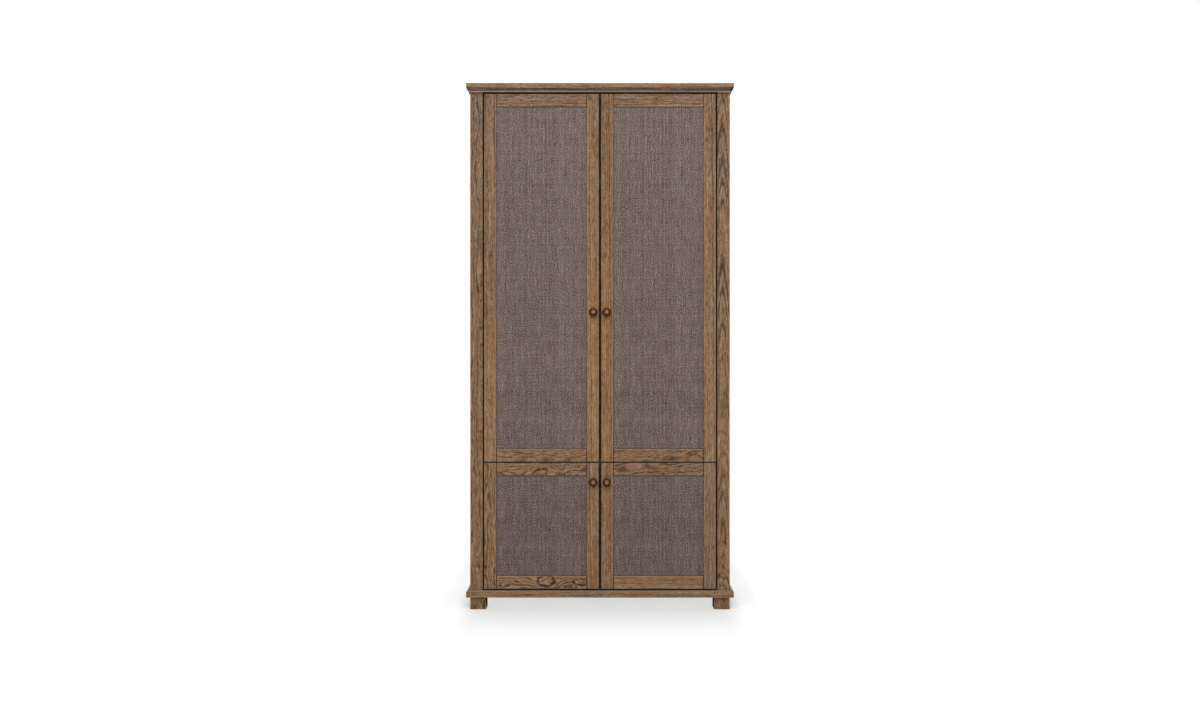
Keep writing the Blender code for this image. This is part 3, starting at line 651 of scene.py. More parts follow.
@dataclass(frozen=True)
class SlubLinen:
    """Coarse upholstery linen, plain weave, stretched over a board.

    Each thread was dyed a little differently and swells and thins along its length, so the cloth
    shows upright streaks, fewer level ones, and a fine broken grid. The thread is about 1 mm on
    the cabinet and is drawn at 4 mm, because it would vanish at the camera's distance.
    """

    thread_mm: float = 3.8
    slub_mm: float = 60.0
    # width of the painted shadow that the frame casts along the cloth's edges
    frame_shadow_mm: float = 4.2
    lane: float = 3.71  # how far apart the threads' slubs lie in the noise
    sway_size_mm: float = 70.0
    sway_mm: tuple[float, float, float] = (5.0, 0.0, 7.0)  # how far the threads wander
    hue_mm: float = 30.0
    dye: tuple[float, float] = (0.21, 0.415)  # spread and lowest of the threads' tones
    warp_slub: tuple[float, float] = (11.0, 0.90)  # seed, and tone gained in a slub
    weft_slub: tuple[float, float] = (907.0, 0.53)
    grain: tuple[float, float] = (3.7, 1.48)  # size in mm and strength of the fluff
    cloud: tuple[float, float] = (130.0, 0.06)  # the same of the patches
    warp: Shades = (
        (0.00, "#433531"), (0.35, "#6b5b58"), (0.60, "#80716d"), (0.80, "#938683"),
        (1.00, "#b0a6a6"),
    )
    weft: Shades = ((0.00, "#3f302a"), (0.40, "#68554c"), (0.65, "#7d695d"), (1.00, "#a08d80"))
    roughness: float = 0.85

    def thread(
        self, graph: Graph, across: object, along: object, seed: float, slubby: float,
    ) -> tuple[object, object, object]:
        """Find the tone and the roundness of the threads that run one way.

        A thread's number is its place across, divided by the pitch and rounded down. Its tone is
        a random number of its own plus noise that is drawn out along it.

        Args:
            graph: the material's tree.
            across: the coordinate across the threads, in mm.
            along: the coordinate along them, in mm.
            seed: sets the two directions apart.
            slubby: how much a thread's tone changes along it.

        Returns:
            The tone, the height of the thread's round back, and its number.
        """
        count = graph.add("Math:MULTIPLY", across, 1 / self.thread_mm)
        number = graph.add("Math:FLOOR", count)
        arch = graph.chain(count, ("Math:FRACT",), ("Math:MULTIPLY", math.pi), ("Math:SINE",))
        dye = graph.add("Math:ADD", number, seed)
        dye = graph.add("TexWhiteNoise", noise_dimensions="1D", W=dye)
        lane = graph.add("Math:MULTIPLY_ADD", number, self.lane, seed)
        drawn = graph.add("Math:MULTIPLY", along, 1 / self.slub_mm)
        tone = graph.chain(
            graph.add("CombineXYZ", lane, drawn, seed),
            ("TexNoise", {"Scale": 1.0, "Detail": 1.0}), ("Math:SUBTRACT", 0.5),
            ("Math:MULTIPLY_ADD", slubby, graph.add("Math:MULTIPLY_ADD", dye, *self.dye)),
        )
        return tone, arch, number

    def frame_shadow(self, graph: Graph, point: object, width: float, height: float) -> object:
        """Find the painted shadow that the frame casts on the recessed cloth.

        Args:
            graph: the material's tree.
            point: the place on the panel, in mm from its lowest corner.
            width: the panel's width in mm.
            height: the panel's height in mm.

        Returns:
            The share of shade: deep along the top edge, slight along the other three.
        """
        level, upright = graph.add("SeparateXYZ", point, out=("X", "Z"))
        top = graph.add("Math:SUBTRACT", height, upright)
        top = graph.add("MapRange", top, 1.0, self.frame_shadow_mm, 0.62, 0.0)
        side = graph.chain(
            graph.add("Math:SUBTRACT", width, level), ("Math:MINIMUM", level),
            ("Math:MINIMUM", upright), ("MapRange", 0.5, self.frame_shadow_mm / 2, 0.50, 0.0),
        )
        return graph.add("Math:MAXIMUM", top, side)

    def dress(
        self, name: str, corner: Vector, size: tuple[float, float], tone: float,
    ) -> bpy.types.Material:
        """Make the cloth of one panel.

        Args:
            name: the material's name.
            corner: a corner of the panel, where its threads start.
            size: the panel's width and height in mm.
            tone: lightness added to the cloth.

        Returns:
            The material.
        """
        graph = Graph(bpy.data.materials.new(name))
        point = graph.add("Mapping", graph.point, Location=-corner / MM, Scale=PER_MM)
        shaded = self.frame_shadow(graph, point, *size)
        point = graph.chain(
            point, ("TexNoise", {"Scale": 1 / self.sway_size_mm, "out": "Color"}),
            ("VectorMath:SUBTRACT", (0.5, 0.5, 0.5)),
            ("VectorMath:MULTIPLY_ADD", self.sway_mm, point),
        )
        level, upright = graph.add("SeparateXYZ", point, out=("X", "Z"))
        warp, warp_arch, warp_number = self.thread(graph, level, upright, *self.warp_slub)
        weft, weft_arch, weft_number = self.thread(graph, upright, level, *self.weft_slub)
        over = graph.chain(
            warp_number, ("Math:ADD", weft_number), ("Math:FLOORED_MODULO", 2.0),
            ("MapRange", 0.0, 1.0, 0.10, 0.75),
        )
        size_mm, strength = self.cloud
        cloud = graph.add("TexNoise", point, Scale=1 / size_mm)
        cloud = graph.add("Math:MULTIPLY_ADD", cloud, strength, tone - strength / 2)
        size_mm, strength = self.grain
        cloud = graph.chain(
            point, ("TexNoise", {"Scale": 1 / size_mm, "Detail": 0.0}),
            ("Math:MULTIPLY_ADD", strength, cloud), ("Math:SUBTRACT", strength / 2),
        )
        colours = [
            graph.add("ValToRGB", graph.add("Math:ADD", threads, cloud), stops=shades)
            for threads, shades in ((warp, self.warp), (weft, self.weft))
        ]
        colour = graph.add("MixRGB", over, *colours)
        arch = graph.add("MixRGB", over, warp_arch, weft_arch)
        shade = graph.add("MapRange", arch, 0.0, 0.8, 0.86, 1.03)
        colour = graph.add("MixRGB", 1.0, colour, shade, blend_type="MULTIPLY")
        hue = graph.add("TexNoise", point, Scale=1 / self.hue_mm, Detail=3.0)
        turned = graph.add("MapRange", hue, 0.35, 0.65, 0.493, 0.507)
        richness = graph.add("MapRange", hue, 0.35, 0.65, 1.06, 0.90)
        colour = graph.add("HueSaturation", turned, richness, 1.0, 1.0, colour)
        # Painted shadow of the frame along the cloth's edges.
        colour = graph.add("MixRGB", shaded, colour, linear(self.warp[0][1]))
        bump = graph.add("Bump", Height=arch, Strength=0.5, Distance=0.35 * MM)
        return graph.finish(
            Base_Color=colour, Roughness=self.roughness, Normal=bump, Specular_IOR_Level=0.2,
            Sheen_Weight=0.12, Sheen_Roughness=0.5,
        )


@dataclass(frozen=True)
class AgedBrass:
    """Brass, turned, darkened with acid and waxed.

    The patina stays dark in the groove and under the rim, where the dark also paints dim
    reflections. A warm level oval on the dome is a painted highlight.
    """

    # patina colours by distance from the axis; the darker rim also paints dim reflections
    rings: Shades = (
        (0.00, "#5a4531"), (0.45, "#5f472f"), (0.64, "#5a3f25"), (0.74, "#43250b"),
        (0.82, "#502e10"), (0.88, "#583412"), (0.96, "#42240a"),
    )
    # the painted highlight's warm colour, laid on a level oval
    painted_highlight: str = "#a4836c"
    highlight_reach: tuple[float, float] = (0.16, 0.42)
    highlight_shape: tuple[float, float, float] = (0.78, 0.0, 1.6)  # a level oval
    highlight_shift: tuple[float, float, float] = (0.0, 0.0, 0.12)  # a little below the middle
    patina: float = 0.80  # how metallic the patina is
    roughness: float = 0.44

    def dress(self, name: str, centre: Vector, radius: float) -> bpy.types.Material:
        """Make the metal of one knob.

        Args:
            name: the material's name.
            centre: a point on the knob's axis.
            radius: the knob's radius.

        Returns:
            The material.
        """
        graph = Graph(bpy.data.materials.new(name))
        size = 1 / radius
        point = graph.add("Mapping", graph.point, Location=-centre * size, Scale=(size,) * 3)
        spots = graph.add("TexNoise", point, Scale=5.0, Detail=4.0, Roughness=0.6)
        shift = graph.add("Math:MULTIPLY_ADD", spots, 0.14, -0.07)
        colour = graph.chain(
            point, ("VectorMath:MULTIPLY", (1.0, 0.0, 1.0)), ("VectorMath:LENGTH",),
            ("Math:ADD", shift), ("ValToRGB", {"stops": self.rings}),
        )
        # Painted highlight: a warm, more metallic level oval on the dome.
        highlight = graph.chain(
            point, ("VectorMath:MULTIPLY_ADD", self.highlight_shape, self.highlight_shift),
            ("VectorMath:LENGTH",), ("Math:ADD", shift), ("MapRange", *self.highlight_reach, 0.9, 0.0),
        )
        metalness = graph.add("Math:MULTIPLY_ADD", highlight, 1.0 - self.patina, self.patina)
        colour = graph.add("MixRGB", highlight, colour, linear(self.painted_highlight))
        dull = graph.add("MapRange", spots, 0.3, 0.7, self.roughness - 0.08, self.roughness + 0.14)
        bump = graph.add("Bump", Height=spots, Strength=0.12, Distance=0.2 * MM)
        return graph.finish(Base_Color=colour, Roughness=dull, Metallic=metalness, Normal=bump)


@dataclass(frozen=True)
class PlainMetal:
    """Steel, pressed and plated: an even colour, with fine rubbing marks along one axis."""

    name: str = "bronzed_steel_pressed"
    shades: Shades = ((0.3, "#4f4134"), (0.7, "#6d5b4a"))
    roughness: float = 0.38

    def dress(self) -> bpy.types.Material:
        """Make the metal."""
        graph = Graph(bpy.data.materials.new(self.name))
        point = graph.add("Mapping", graph.point, Scale=(1 / MM, 0.1 / MM, 1 / MM))
        marks = graph.add("TexNoise", point, Scale=1.2, Detail=3.0)
        colour = graph.add("ValToRGB", marks, stops=self.shades)
        dull = graph.add("MapRange", marks, 0.3, 0.7, self.roughness, self.roughness + 0.12)
        return graph.finish(Base_Color=colour, Roughness=dull, Metallic=1.0)


@dataclass(frozen=True)
class MouldedPlastic:
    """Nylon, injection moulded, with a fine spark-eroded grain."""

    name: str = "moulded_nylon_brown"
    shades: Shades = ((0.3, "#2e2219"), (0.7, "#3d2f24"))
    grit_mm: float = 0.5

    def dress(self) -> bpy.types.Material:
        """Make the plastic."""
        graph = Graph(bpy.data.materials.new(self.name))
        point = graph.add("Mapping", graph.point, Scale=PER_MM)
        grit = graph.add("TexNoise", point, Scale=1 / self.grit_mm)
        colour = graph.add("ValToRGB", grit, stops=self.shades)
        bump = graph.add("Bump", Height=grit, Strength=0.2, Distance=0.1 * MM)
        return graph.finish(Base_Color=colour, Roughness=0.5, Normal=bump)


def put(name: str, data: bpy.types.ID) -> bpy.types.Object:
    """Make an object of some data and link it to the scene."""
    thing = bpy.data.objects.new(name, data)
    bpy.context.collection.objects.link(thing)
    return thing


def quads(index: np.ndarray, closed: bool) -> list[list[int]]:
    """Join rows of point numbers into quads, each row's end to its start too if it is closed."""
    ahead = np.roll(index, -1, axis=1)
    faces = np.stack([index[:-1], ahead[:-1], ahead[1:], index[1:]], axis=2)
    return (faces if closed else faces[:, :-1]).reshape(-1, 4).tolist()


@dataclass
class Surface:
    """Points in metres and the faces between them."""

    points: np.ndarray
    faces: list[list[int]]

    @staticmethod
    def sheet(points: np.ndarray) -> Surface:
        """Join a grid of points, as rows x columns x 3, into an open surface."""
        index = np.arange(points.shape[0] * points.shape[1]).reshape(points.shape[:2])
        return Surface(points.reshape(-1, 3), quads(index, closed=False))

    @staticmethod
    def turned(profile: np.ndarray, steps: int) -> Surface:
        """Spin a profile about +Z: at angle a, a point is (r cos a, r sin a, h).

        Args:
            profile: (radius, height) points that start and end on the axis.
            steps: how many points go round.

        Returns:
            The closed surface, with a fan of triangles at each pole.
        """
        angle = np.linspace(0, math.tau, steps, endpoint=False)
        radius, height = profile[1:-1, 0][:, None], profile[1:-1, 1][:, None]
        rings = np.stack(
            [radius * np.cos(angle), radius * np.sin(angle), height + 0 * angle], axis=2
        )
        ends = [(0.0, 0.0, profile[0, 1]), (0.0, 0.0, profile[-1, 1])]
        points = np.concatenate([rings.reshape(-1, 3), np.array(ends)])
        index = np.arange(len(rings) * steps).reshape(len(rings), steps)
        ahead = np.roll(index, -1, axis=1)
        bottom, top = np.full(steps, len(points) - 2), np.full(steps, len(points) - 1)
        foot = np.stack([ahead[0], index[0], bottom], axis=1).tolist()
        head = np.stack([index[-1], ahead[-1], top], axis=1).tolist()
        return Surface(points, quads(index, closed=True) + foot + head)

    @staticmethod
    def prism(outline: np.ndarray, depth: float, ease: float) -> Surface:
        """Raise an outline along +Z, with both ends eased.

        The end loops lie inside the outline by the ease, along the mean of the normals of the
        two sides that meet at each point.

        Args:
            outline: points in order, counter-clockwise seen from +Z.
            depth: how far it is raised.
            ease: width of the eased arrises.

        Returns:
            The closed surface.
        """
        side = np.roll(outline, -1, axis=0) - outline
        side /= np.linalg.norm(side, axis=1)[:, None]
        normal = np.stack([-side[:, 1], side[:, 0]], axis=1)
        inner = outline + ease * (normal + np.roll(normal, 1, axis=0)) / 2
        levels = ((inner, 0.0), (outline, ease), (outline, depth - ease), (inner, depth))
        points = np.concatenate([np.insert(loop, 2, height, axis=1) for loop, height in levels])
        index = np.arange(len(points)).reshape(-1, len(outline))
        ends = [index[0, ::-1].tolist(), index[-1].tolist()]
        return Surface(points, quads(index, closed=True) + ends)

    def moved(self, turn: Matrix, place: Vector) -> Surface:
        """The same surface, turned and then shifted."""
        return Surface(self.points @ np.array(turn.to_3x3()).T + np.array(place), self.faces)

    def __add__(self, other: Surface) -> Surface:
        """Both surfaces in one."""
        step = len(self.points)
        shifted = [[corner + step for corner in face] for face in other.faces]
        return Surface(np.concatenate([self.points, other.points]), self.faces + shifted)

    def place(
        self, name: str, body: str, material: bpy.types.Material, slot: str,
    ) -> bpy.types.Object:
        """Make the object and let it ride.

        Args:
            name: the piece's name.
            body: the CAD body that carries it.
            material: its finish.
            slot: not used.

        Returns:
            The object.
        """
        mesh = bpy.data.meshes.new(name)
        mesh.from_pydata(self.points.tolist(), [], self.faces)
        mesh.validate()
        mesh.shade_smooth()
        mesh.set_sharp_from_angle(angle=SHARP)
        mesh.materials.append(material)
        piece = put(name, mesh)
        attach(piece, body)
        LOG.info("%s: %d faces in %s", name, len(self.faces), material.name)
        return piece


def arc(centre: tuple[float, float], radii: tuple[float, float], start: float, stop: float,
        steps: int) -> np.ndarray:
    """Points on an ellipse: centre plus (radius cos a, radius sin a).

    Args:
        centre: the ellipse's middle.
        radii: its two half axes.
        start: the first angle in degrees.
        stop: the last angle in degrees.
        steps: how many points.

    Returns:
        The points as rows.
    """
    angle = np.radians(np.linspace(start, stop, steps))
    return np.stack(
        [centre[0] + radii[0] * np.cos(angle), centre[1] + radii[1] * np.sin(angle)], axis=1
    )


@dataclass
class Knob:
    """A turned knob: rose, neck, flared head with a rolled rim, groove and dome, in mm."""

    door: str
    steps: int = 64
    reach: float = 28.0
    radius: float = 16.5
    rose: float = 8.5
    neck: float = 5.8
    rim: float = 2.1
    rim_height: float = 17.7
    dome: float = 12.7
    dome_height: float = 19.0

    def profile(self) -> np.ndarray:
        """The knob's half section, from the door's face to the top of the dome.

        Returns:
            (radius, height) points in metres.
        """
        middle, foot = self.radius - self.rim, self.rose - 0.9
        parts = [
            np.array([(0.0, 0.3), (self.rose - 0.3, 0.3), (self.rose, 0.6)]),
            arc((foot, 1.6), (0.9, 0.9), 0, 90, 6),
            arc((foot, 5.2), (foot - self.neck, 2.5), 268, 180, 8),
            arc((middle, 9.5), (middle - self.neck, 6.1), 180, 92, 16)[1:],
            arc((middle, self.rim_height), (self.rim, self.rim), -90, 105, 18),
            arc((13.2, 19.5), (0.5, 0.7), 20, -80, 5),
            arc((0.0, self.dome_height), (self.dome, self.reach - self.dome_height), 2, 89, 26),
            np.array([(0.0, self.reach)]),
        ]
        return np.concatenate(parts) * MM

    def build(self, finish: AgedBrass) -> None:
        """Turn the knob and put it on its door."""
        low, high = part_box(f"{self.door}_knob")
        foot = Vector(((low.x + high.x) / 2, low.y + self.reach * MM, (low.z + high.z) / 2))
        metal = finish.dress(f"aged_brass_{self.door}", foot, self.radius * MM)
        facing = Matrix.Rotation(math.radians(90), 3, "X")
        shape = Surface.turned(self.profile(), self.steps).moved(facing, foot)
        name, body = f"{self.door}_turned_knob", f"{self.door}_door"
        piece = shape.place(name, body, metal, "antique_brass")
        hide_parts(f"{self.door}_knob")


def rounded(width: float, height: float, corner: float) -> np.ndarray:
    """A rectangle about the origin whose corners are quarter circles, counter-clockwise."""
    across, up = width / 2 - corner, height / 2 - corner
    middles = ((across, up), (-across, up), (-across, -up), (across, -up))
    return np.concatenate([
        arc(middle, (corner, corner), 90 * turn, 90 * turn + 90, 5)
        for turn, middle in enumerate(middles)
    ])


def looking(normal: Vector, up: Vector = UP) -> Matrix:
    """The turn that brings +Z to the normal and +Y to the up direction."""
    return Matrix((up.cross(normal), up, normal)).transposed()


@dataclass(frozen=True)
class Screw:
    """The raised countersunk head of a cross-recessed wood screw, in mm."""

    radius: float = 2.9
    rise: float = 0.45
    arm: float = 1.7
    slot: float = 0.55
    steps: int = 24

    def surface(self) -> Surface:
        """Shape the head about +Z, with its rim at height 0.

        At distance r the dome's height is rise (1 - (r / radius)^2). The recess takes most of it
        away where the lesser of |x| and |y| is under half the slot and the greater under the arm.

        Returns:
            The closed surface, in metres.
        """
        out = np.linspace(self.radius, 0.0, 10)
        dome = np.stack([out, self.rise * (1 - (out / self.radius) ** 2)], axis=1)
        profile = np.concatenate([[(0.0, -0.1), (self.radius, -0.1)], dome])
        head = Surface.turned(profile, self.steps)
        flat = np.sort(np.abs(head.points[:, :2]), axis=1)
        inside = (flat[:, 0] < self.slot / 2 + 0.02) & (flat[:, 1] < self.arm)
        head.points[inside & (head.points[:, 2] > 0), 2] *= 0.15
        return Surface(head.points * MM, head.faces)


@dataclass
class Hardware:
    """The screws, magnets, strike plates and shelf clips that the solids leave out, in mm."""

    steel: bpy.types.Material
    ferrite: bpy.types.Material
    screw: Screw = Screw()
    pivot_screws: tuple[float, float] = (7.0, 23.0)  # from the back end of the plate
    magnet: tuple[float, float] = (12.0, 4.6)
    pole: float = 1.2
    strike: tuple[float, float] = (22.0, 12.0)
    strike_plate: float = 0.5
    below_top: float = 8.0  # least distance from a strike plate's middle to the top of its stile
    spread: float = 16.0
    catch_screws: float = 23.0
    clip: float = 18.0
    fold: float = 2.0
    sheet: float = 1.2
    clip_width: float = 14.0
    clip_inset: float = 50.0

    def screws(self, places: list[tuple[Vector, Vector, Vector]]) -> Surface:
        """Put a screw at each (place, normal, up)."""
        heads = [
            self.screw.surface().moved(looking(normal, up), place) for place, normal, up in places
        ]
        return sum(heads[1:], heads[0])

    def pivots(self) -> None:
        """Screw the end plates of the pivots to the base and to the cornice."""
        base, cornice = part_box("base_board")[1].z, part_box("cornice_front")[0].z
        places = []
        for side in SIDES:
            for level, face, normal in (("bottom", base, UP), ("top", cornice, -UP)):
                low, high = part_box(f"pivot_{level}_{side}")
                for inset in self.pivot_screws:
                    place = Vector(((low.x + high.x) / 2, high.y - inset * MM, face))
                    places.append((place, normal, FRONT))
        self.screws(places).place("pivot_screws", "carcass", self.steel, "bronzed_steel")

    def catch(self, level: str) -> None:
        """Set two magnets in the front of a catch, and a strike plate behind each door.

        Args:
            level: "upper" or "lower".
        """
        low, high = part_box(f"magnetic_catch_{level}")
        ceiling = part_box(f"{level}_left_meeting_stile")[1].z - self.below_top * MM
        height = min((low.z + high.z) / 2, ceiling)
        width, depth = self.magnet
        between = rounded(width, depth - 2 * self.pole, 0.2)
        magnet = Surface.prism(between * MM, 0.12 * MM, 0.04 * MM)
        pole = Surface.prism(rounded(width, self.pole, 0.3) * MM, 0.22 * MM, 0.08 * MM)
        blocks, poles, fixings = [], [], []
        for hand in (-1, 1):
            middle = Vector((hand * self.spread * MM, low.y, height))
            blocks.append(magnet.moved(looking(FRONT), middle))
            for shift in (-1, 1):
                rise = Vector((0, 0, shift * (depth - self.pole) / 2 * MM))
                poles.append(pole.moved(looking(FRONT), middle + rise))
            place = Vector((hand * self.catch_screws * MM, (low.y + high.y) / 2, low.z))
            fixings.append((place, -UP, FRONT))
        magnets, steel = sum(blocks[1:], blocks[0]), sum(poles, self.screws(fixings))
        magnets.place(f"{level}_catch_magnets", "carcass", self.ferrite, "catch_plastic")
        steel.place(f"{level}_catch_steel", "carcass", self.steel, "bronzed_steel")
        flush = replace(self.screw, rise=0.1).surface()
        plate = Surface.prism(rounded(*self.strike, 2.5) * MM, self.strike_plate * MM, 0.15 * MM)
        plate += flush.moved(Matrix.Identity(3), Vector((0, 0, self.strike_plate * MM)))
        for side, hand in zip(SIDES, (-1, 1)):
            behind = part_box(f"{level}_{side}_meeting_stile")[1].y
            middle = Vector((hand * self.spread * MM, behind, height))
            door = f"{level}_{side}"
            plate.moved(looking(-FRONT), middle).place(
                f"{door}_strike_plate", f"{door}_door", self.steel, "bronzed_steel",
            )

    def clips(self) -> None:
        """Fold an angle clip under both ends of each shelf, front and back."""
        out, sheet, fold = self.clip, self.sheet, self.fold
        section = np.concatenate([
            [(out, 0.0)], arc((fold, -fold), (fold, fold), 90, 180, 6),
            [(0.0, -out), (sheet, -out)],
            arc((fold, -fold), (fold - sheet,) * 2, 180, 90, 5), [(out, -sheet)],
        ])
        clip = Surface.prism(section * MM, self.clip_width * MM, 0.2 * MM)
        shapes, places = [], []
        for shelf in ("fixed_shelf", "shelf_1", "shelf_2", "shelf_3"):
            low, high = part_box(shelf)
            for hand, side in zip((-1, 1), SIDES):
                wall = min(abs(corner.x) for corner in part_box(f"side_panel_{side}"))
                for place in (low.y + self.clip_inset * MM, high.y - self.clip_inset * MM):
                    along, inwards = Vector((0, hand, 0)), Vector((-hand, 0, 0))
                    corner = Vector((hand * wall, place, low.z))
                    start = corner - along * self.clip_width / 2 * MM
                    shapes.append(clip.moved(looking(along), start))
                    leg, face = (out * 0.6) * MM, sheet * MM
                    places.append((corner + inwards * leg - UP * face, -UP, along))
                    places.append((corner - UP * leg + inwards * face, inwards, UP))
        sum(shapes[1:], shapes[0]).place("shelf_clips", "carcass", self.steel, "bronzed_steel")
        self.screws(places).place("shelf_clip_screws", "carcass", self.steel, "bronzed_steel")

    def build(self) -> None:
        """Fit all of it."""
        self.pivots()
        for level in LEVELS:
            self.catch(level)
        self.clips()


@dataclass
class LinenPanel:
    """The cloth of one door, stretched over its board, with rolled edges; sizes in mm."""

    door: str
    tone: float = 0.0
    cell: float = 5.5
    thickness: float = 0.6
    roll: float = 1.6
    drop: float = 0.55  # share of the roll that the edges lie back by
    ripple: float = 0.10
    still: float = 25.0  # width of the border where the ripple dies out
    seed: int = 3

    def grid(self, length: float) -> np.ndarray:
        """Places along one side, closer together over the rolled edges, in mm."""
        inner = np.linspace(self.roll, length - self.roll, max(2, round(length / self.cell)))
        edge = self.roll * (1 - np.cos(np.linspace(0, math.pi / 2, 5)[:-1]))
        return np.concatenate([edge, inner, (length - edge)[::-1]])

    def build(self, finish: SlubLinen) -> None:
        """Stretch the cloth.

        The height of a point is a quarter circle over its distance from the nearer edge, less a
        ripple of two slow sine waves that fades out towards the edges.
        """
        low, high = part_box(f"{self.door}_linen")
        width, height = (high.x - low.x) / MM, (high.z - low.z) / MM
        level, upright = np.meshgrid(self.grid(width), self.grid(height))
        edge = np.minimum(
            np.minimum(level, width - level), np.minimum(upright, height - upright)
        )
        short = np.clip(self.roll - edge, 0, self.roll)
        back = self.roll - np.sqrt(np.maximum(self.roll ** 2 - short ** 2, 0))
        back *= self.drop
        phase = np.random.default_rng(self.seed).uniform(0, math.tau, 4)
        fade = np.clip(edge / self.still, 0, 1)
        wave = np.sin(level / 61 + phase[0] + np.sin(upright / 190 + phase[1]))
        wave += np.sin(upright / 83 + phase[2] + np.sin(level / 110 + phase[3]))
        depth = back + self.ripple * fade * (wave + 2) / 2
        points = np.stack([low.x / MM + level, low.y / MM + depth, low.z / MM + upright], axis=2)
        cloth = finish.dress(f"slub_linen_{self.door}", low, (width, height), self.tone)
        sheet = Surface.sheet(points * MM)
        piece = sheet.place(f"{self.door}_cloth", f"{self.door}_door", cloth, "linen")
        solid = piece.modifiers.new("cloth_thickness", "SOLIDIFY")
        solid.thickness = self.thickness * MM
        solid.offset = -1.0
        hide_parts(f"{self.door}_linen")


def paint(node: str, material: bpy.types.Material) -> None:
    """Give every material slot of a CAD node its finish, and report it."""
    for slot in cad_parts[node].material_slots:
        slot.material = material
    LOG.info("%s: %s", node, material.name)


@dataclass
class Woodwork:
    """The timber of the cabinet: which board each node is."""

    boards: tuple[Board, ...]

    def build(self, finish: SmokedOak) -> None:
        """Give every timber node its own stretch of the log."""
        for board in self.boards:
            paint(board.node, finish.dress(board))


@dataclass
class Studio:
    """A pale floor, soft lamps and the camera at the photograph's place."""

    eye: Vector = Vector((0.0, -4.204, 1.0))
    lens: float = 31.53
    shift: float = -8.8 / 1200
    aim: Vector = Vector((0.0, 0.0, 1.1))
    sky: float = 0.315
    key: float = 108.0
    fill: float = 18.5
    footprint: tuple[float, float, float] = (0.45, 0.125, 0.007)
    spread: tuple[float, float, float] = (3.6, 0.6, 0.0)
    lift: float = 0.08  # painted light: glow added behind and beside the cabinet, thinning the floor's shadow there
    beside_cool: float = 0.35  # how cool the floor is there
    warm: tuple[float, ...] = (0.985, 0.995, 1.0, 1.0)
    cool: tuple[float, ...] = (0.94, 1.0, 1.03, 1.0)
    # glow by distance from the footprint: white far off, a painted shadow near the cabinet
    glow: Stops = (
        (0.000, 0.665), (0.010, 0.65), (0.025, 0.575), (0.036, 0.46), (0.047, 0.305),
        (0.058, 0.25), (0.072, 0.235), (0.092, 0.24), (0.127, 0.27), (0.161, 0.295),
        (0.194, 0.33), (0.226, 0.355), (0.257, 0.375), (0.312, 0.415), (0.360, 0.455),
        (0.580, 0.455), (0.840, 0.64), (1.000, 0.84),
    )

    def camera(self) -> None:
        """Put the camera straight in front of the doors, level, at half the cabinet's height."""
        data = bpy.data.cameras.new("camera")
        data.sensor_fit = "HORIZONTAL"
        data.sensor_width = 36.0
        data.lens = self.lens
        data.shift_y = self.shift
        view = put("camera", data)
        view.location = self.eye
        view.rotation_euler = (math.pi / 2, 0.0, 0.0)
        bpy.context.scene.camera = view

    def lamp(self, name: str, place: Vector, size: tuple[float, float], power: float) -> None:
        """Hang one soft rectangular lamp that faces the cabinet.

        Args:
            name: the lamp's name.
            place: where it hangs.
            size: its width and height.
            power: its power in watts.
        """
        data = bpy.data.lights.new(name, "AREA")
        data.shape = "RECTANGLE"
        data.size, data.size_y = size
        data.energy = power
        lamp = put(name, data)
        lamp.location = place
        lamp.rotation_euler = (self.aim - place).to_track_quat("-Z", "Y").to_euler()

    def world(self) -> None:
        """Light from a pale sky, which the camera, metal and glass see as white."""
        world = bpy.data.worlds.new("studio")
        bpy.context.scene.world = world
        graph = Graph(world, "Background")
        seen, glossy, through = graph.add(
            "LightPath", out=("Is Camera Ray", "Is Glossy Ray", "Is Transmission Ray"),
        )
        strength = graph.chain(
            seen, ("Math:MAXIMUM", glossy), ("Math:MAXIMUM", through),
            ("MapRange", 0.0, 1.0, self.sky, 1.0),
        )
        graph.finish(Color=(1.0, 1.0, 1.0, 1.0), Strength=strength)

    def floor(self) -> None:
        """Lay a white floor that keeps a thin shadow of the cabinet.

        The floor's glow, which only the camera sees, falls off towards the cabinet's footprint as
        a painted shadow, and is lifted beside and behind it.
        """
        half = 30.0
        corners = [(-half, -half, 0.0), (half, -half, 0.0), (half, half, 0.0), (-half, half, 0.0)]
        mesh = bpy.data.meshes.new("studio_floor")
        mesh.from_pydata(corners, [], [(0, 1, 2, 3)])
        graph = Graph(bpy.data.materials.new("painted_floor"))
        width, depth, middle = self.footprint
        point = graph.add("Mapping", graph.point, Location=(0.0, -middle, 0.0))
        beyond = graph.chain(
            point, ("VectorMath:ABSOLUTE",), ("VectorMath:SUBTRACT", (width, depth, 0.0)),
            ("VectorMath:MAXIMUM", (0.0, 0.0, 0.0)),
        )
        beside = graph.add("SeparateXYZ", beyond, out="X")
        away = graph.chain(beyond, ("VectorMath:MULTIPLY", self.spread), ("VectorMath:LENGTH",))
        lift = graph.add("SeparateXYZ", point, out="Y")
        lift = graph.add("MapRange", lift, -0.08, 0.12, 0.0, self.lift)
        lift = graph.add("MapRange", beside, 0.03, 0.09, 0.0, lift)
        glow = graph.add("Math:ADD", graph.add("ValToRGB", away, stops=self.glow), lift)
        share = graph.add("Math:MULTIPLY", graph.add("LightPath", out="Is Camera Ray"), glow)
        cool = graph.add("MapRange", away, 0.0, 0.05, 0.0, 1.0)
        cool = graph.add("MapRange", beside, 0.02, 0.08, cool, self.beside_cool)
        cool = graph.add("MixRGB", cool, self.warm, self.cool)
        white = graph.add("Emission", Color=cool, Strength=share)
        mix = graph.add("AddShader", graph.shader.outputs[0], white)
        graph.feed(graph.tree.nodes["Material Output"].inputs["Surface"], mix)
        mesh.materials.append(graph.finish(
            Base_Color=linear("#fafafa"), Roughness=0.9, Specular_IOR_Level=0.0,
        ))
        floor = put("studio_floor", mesh)

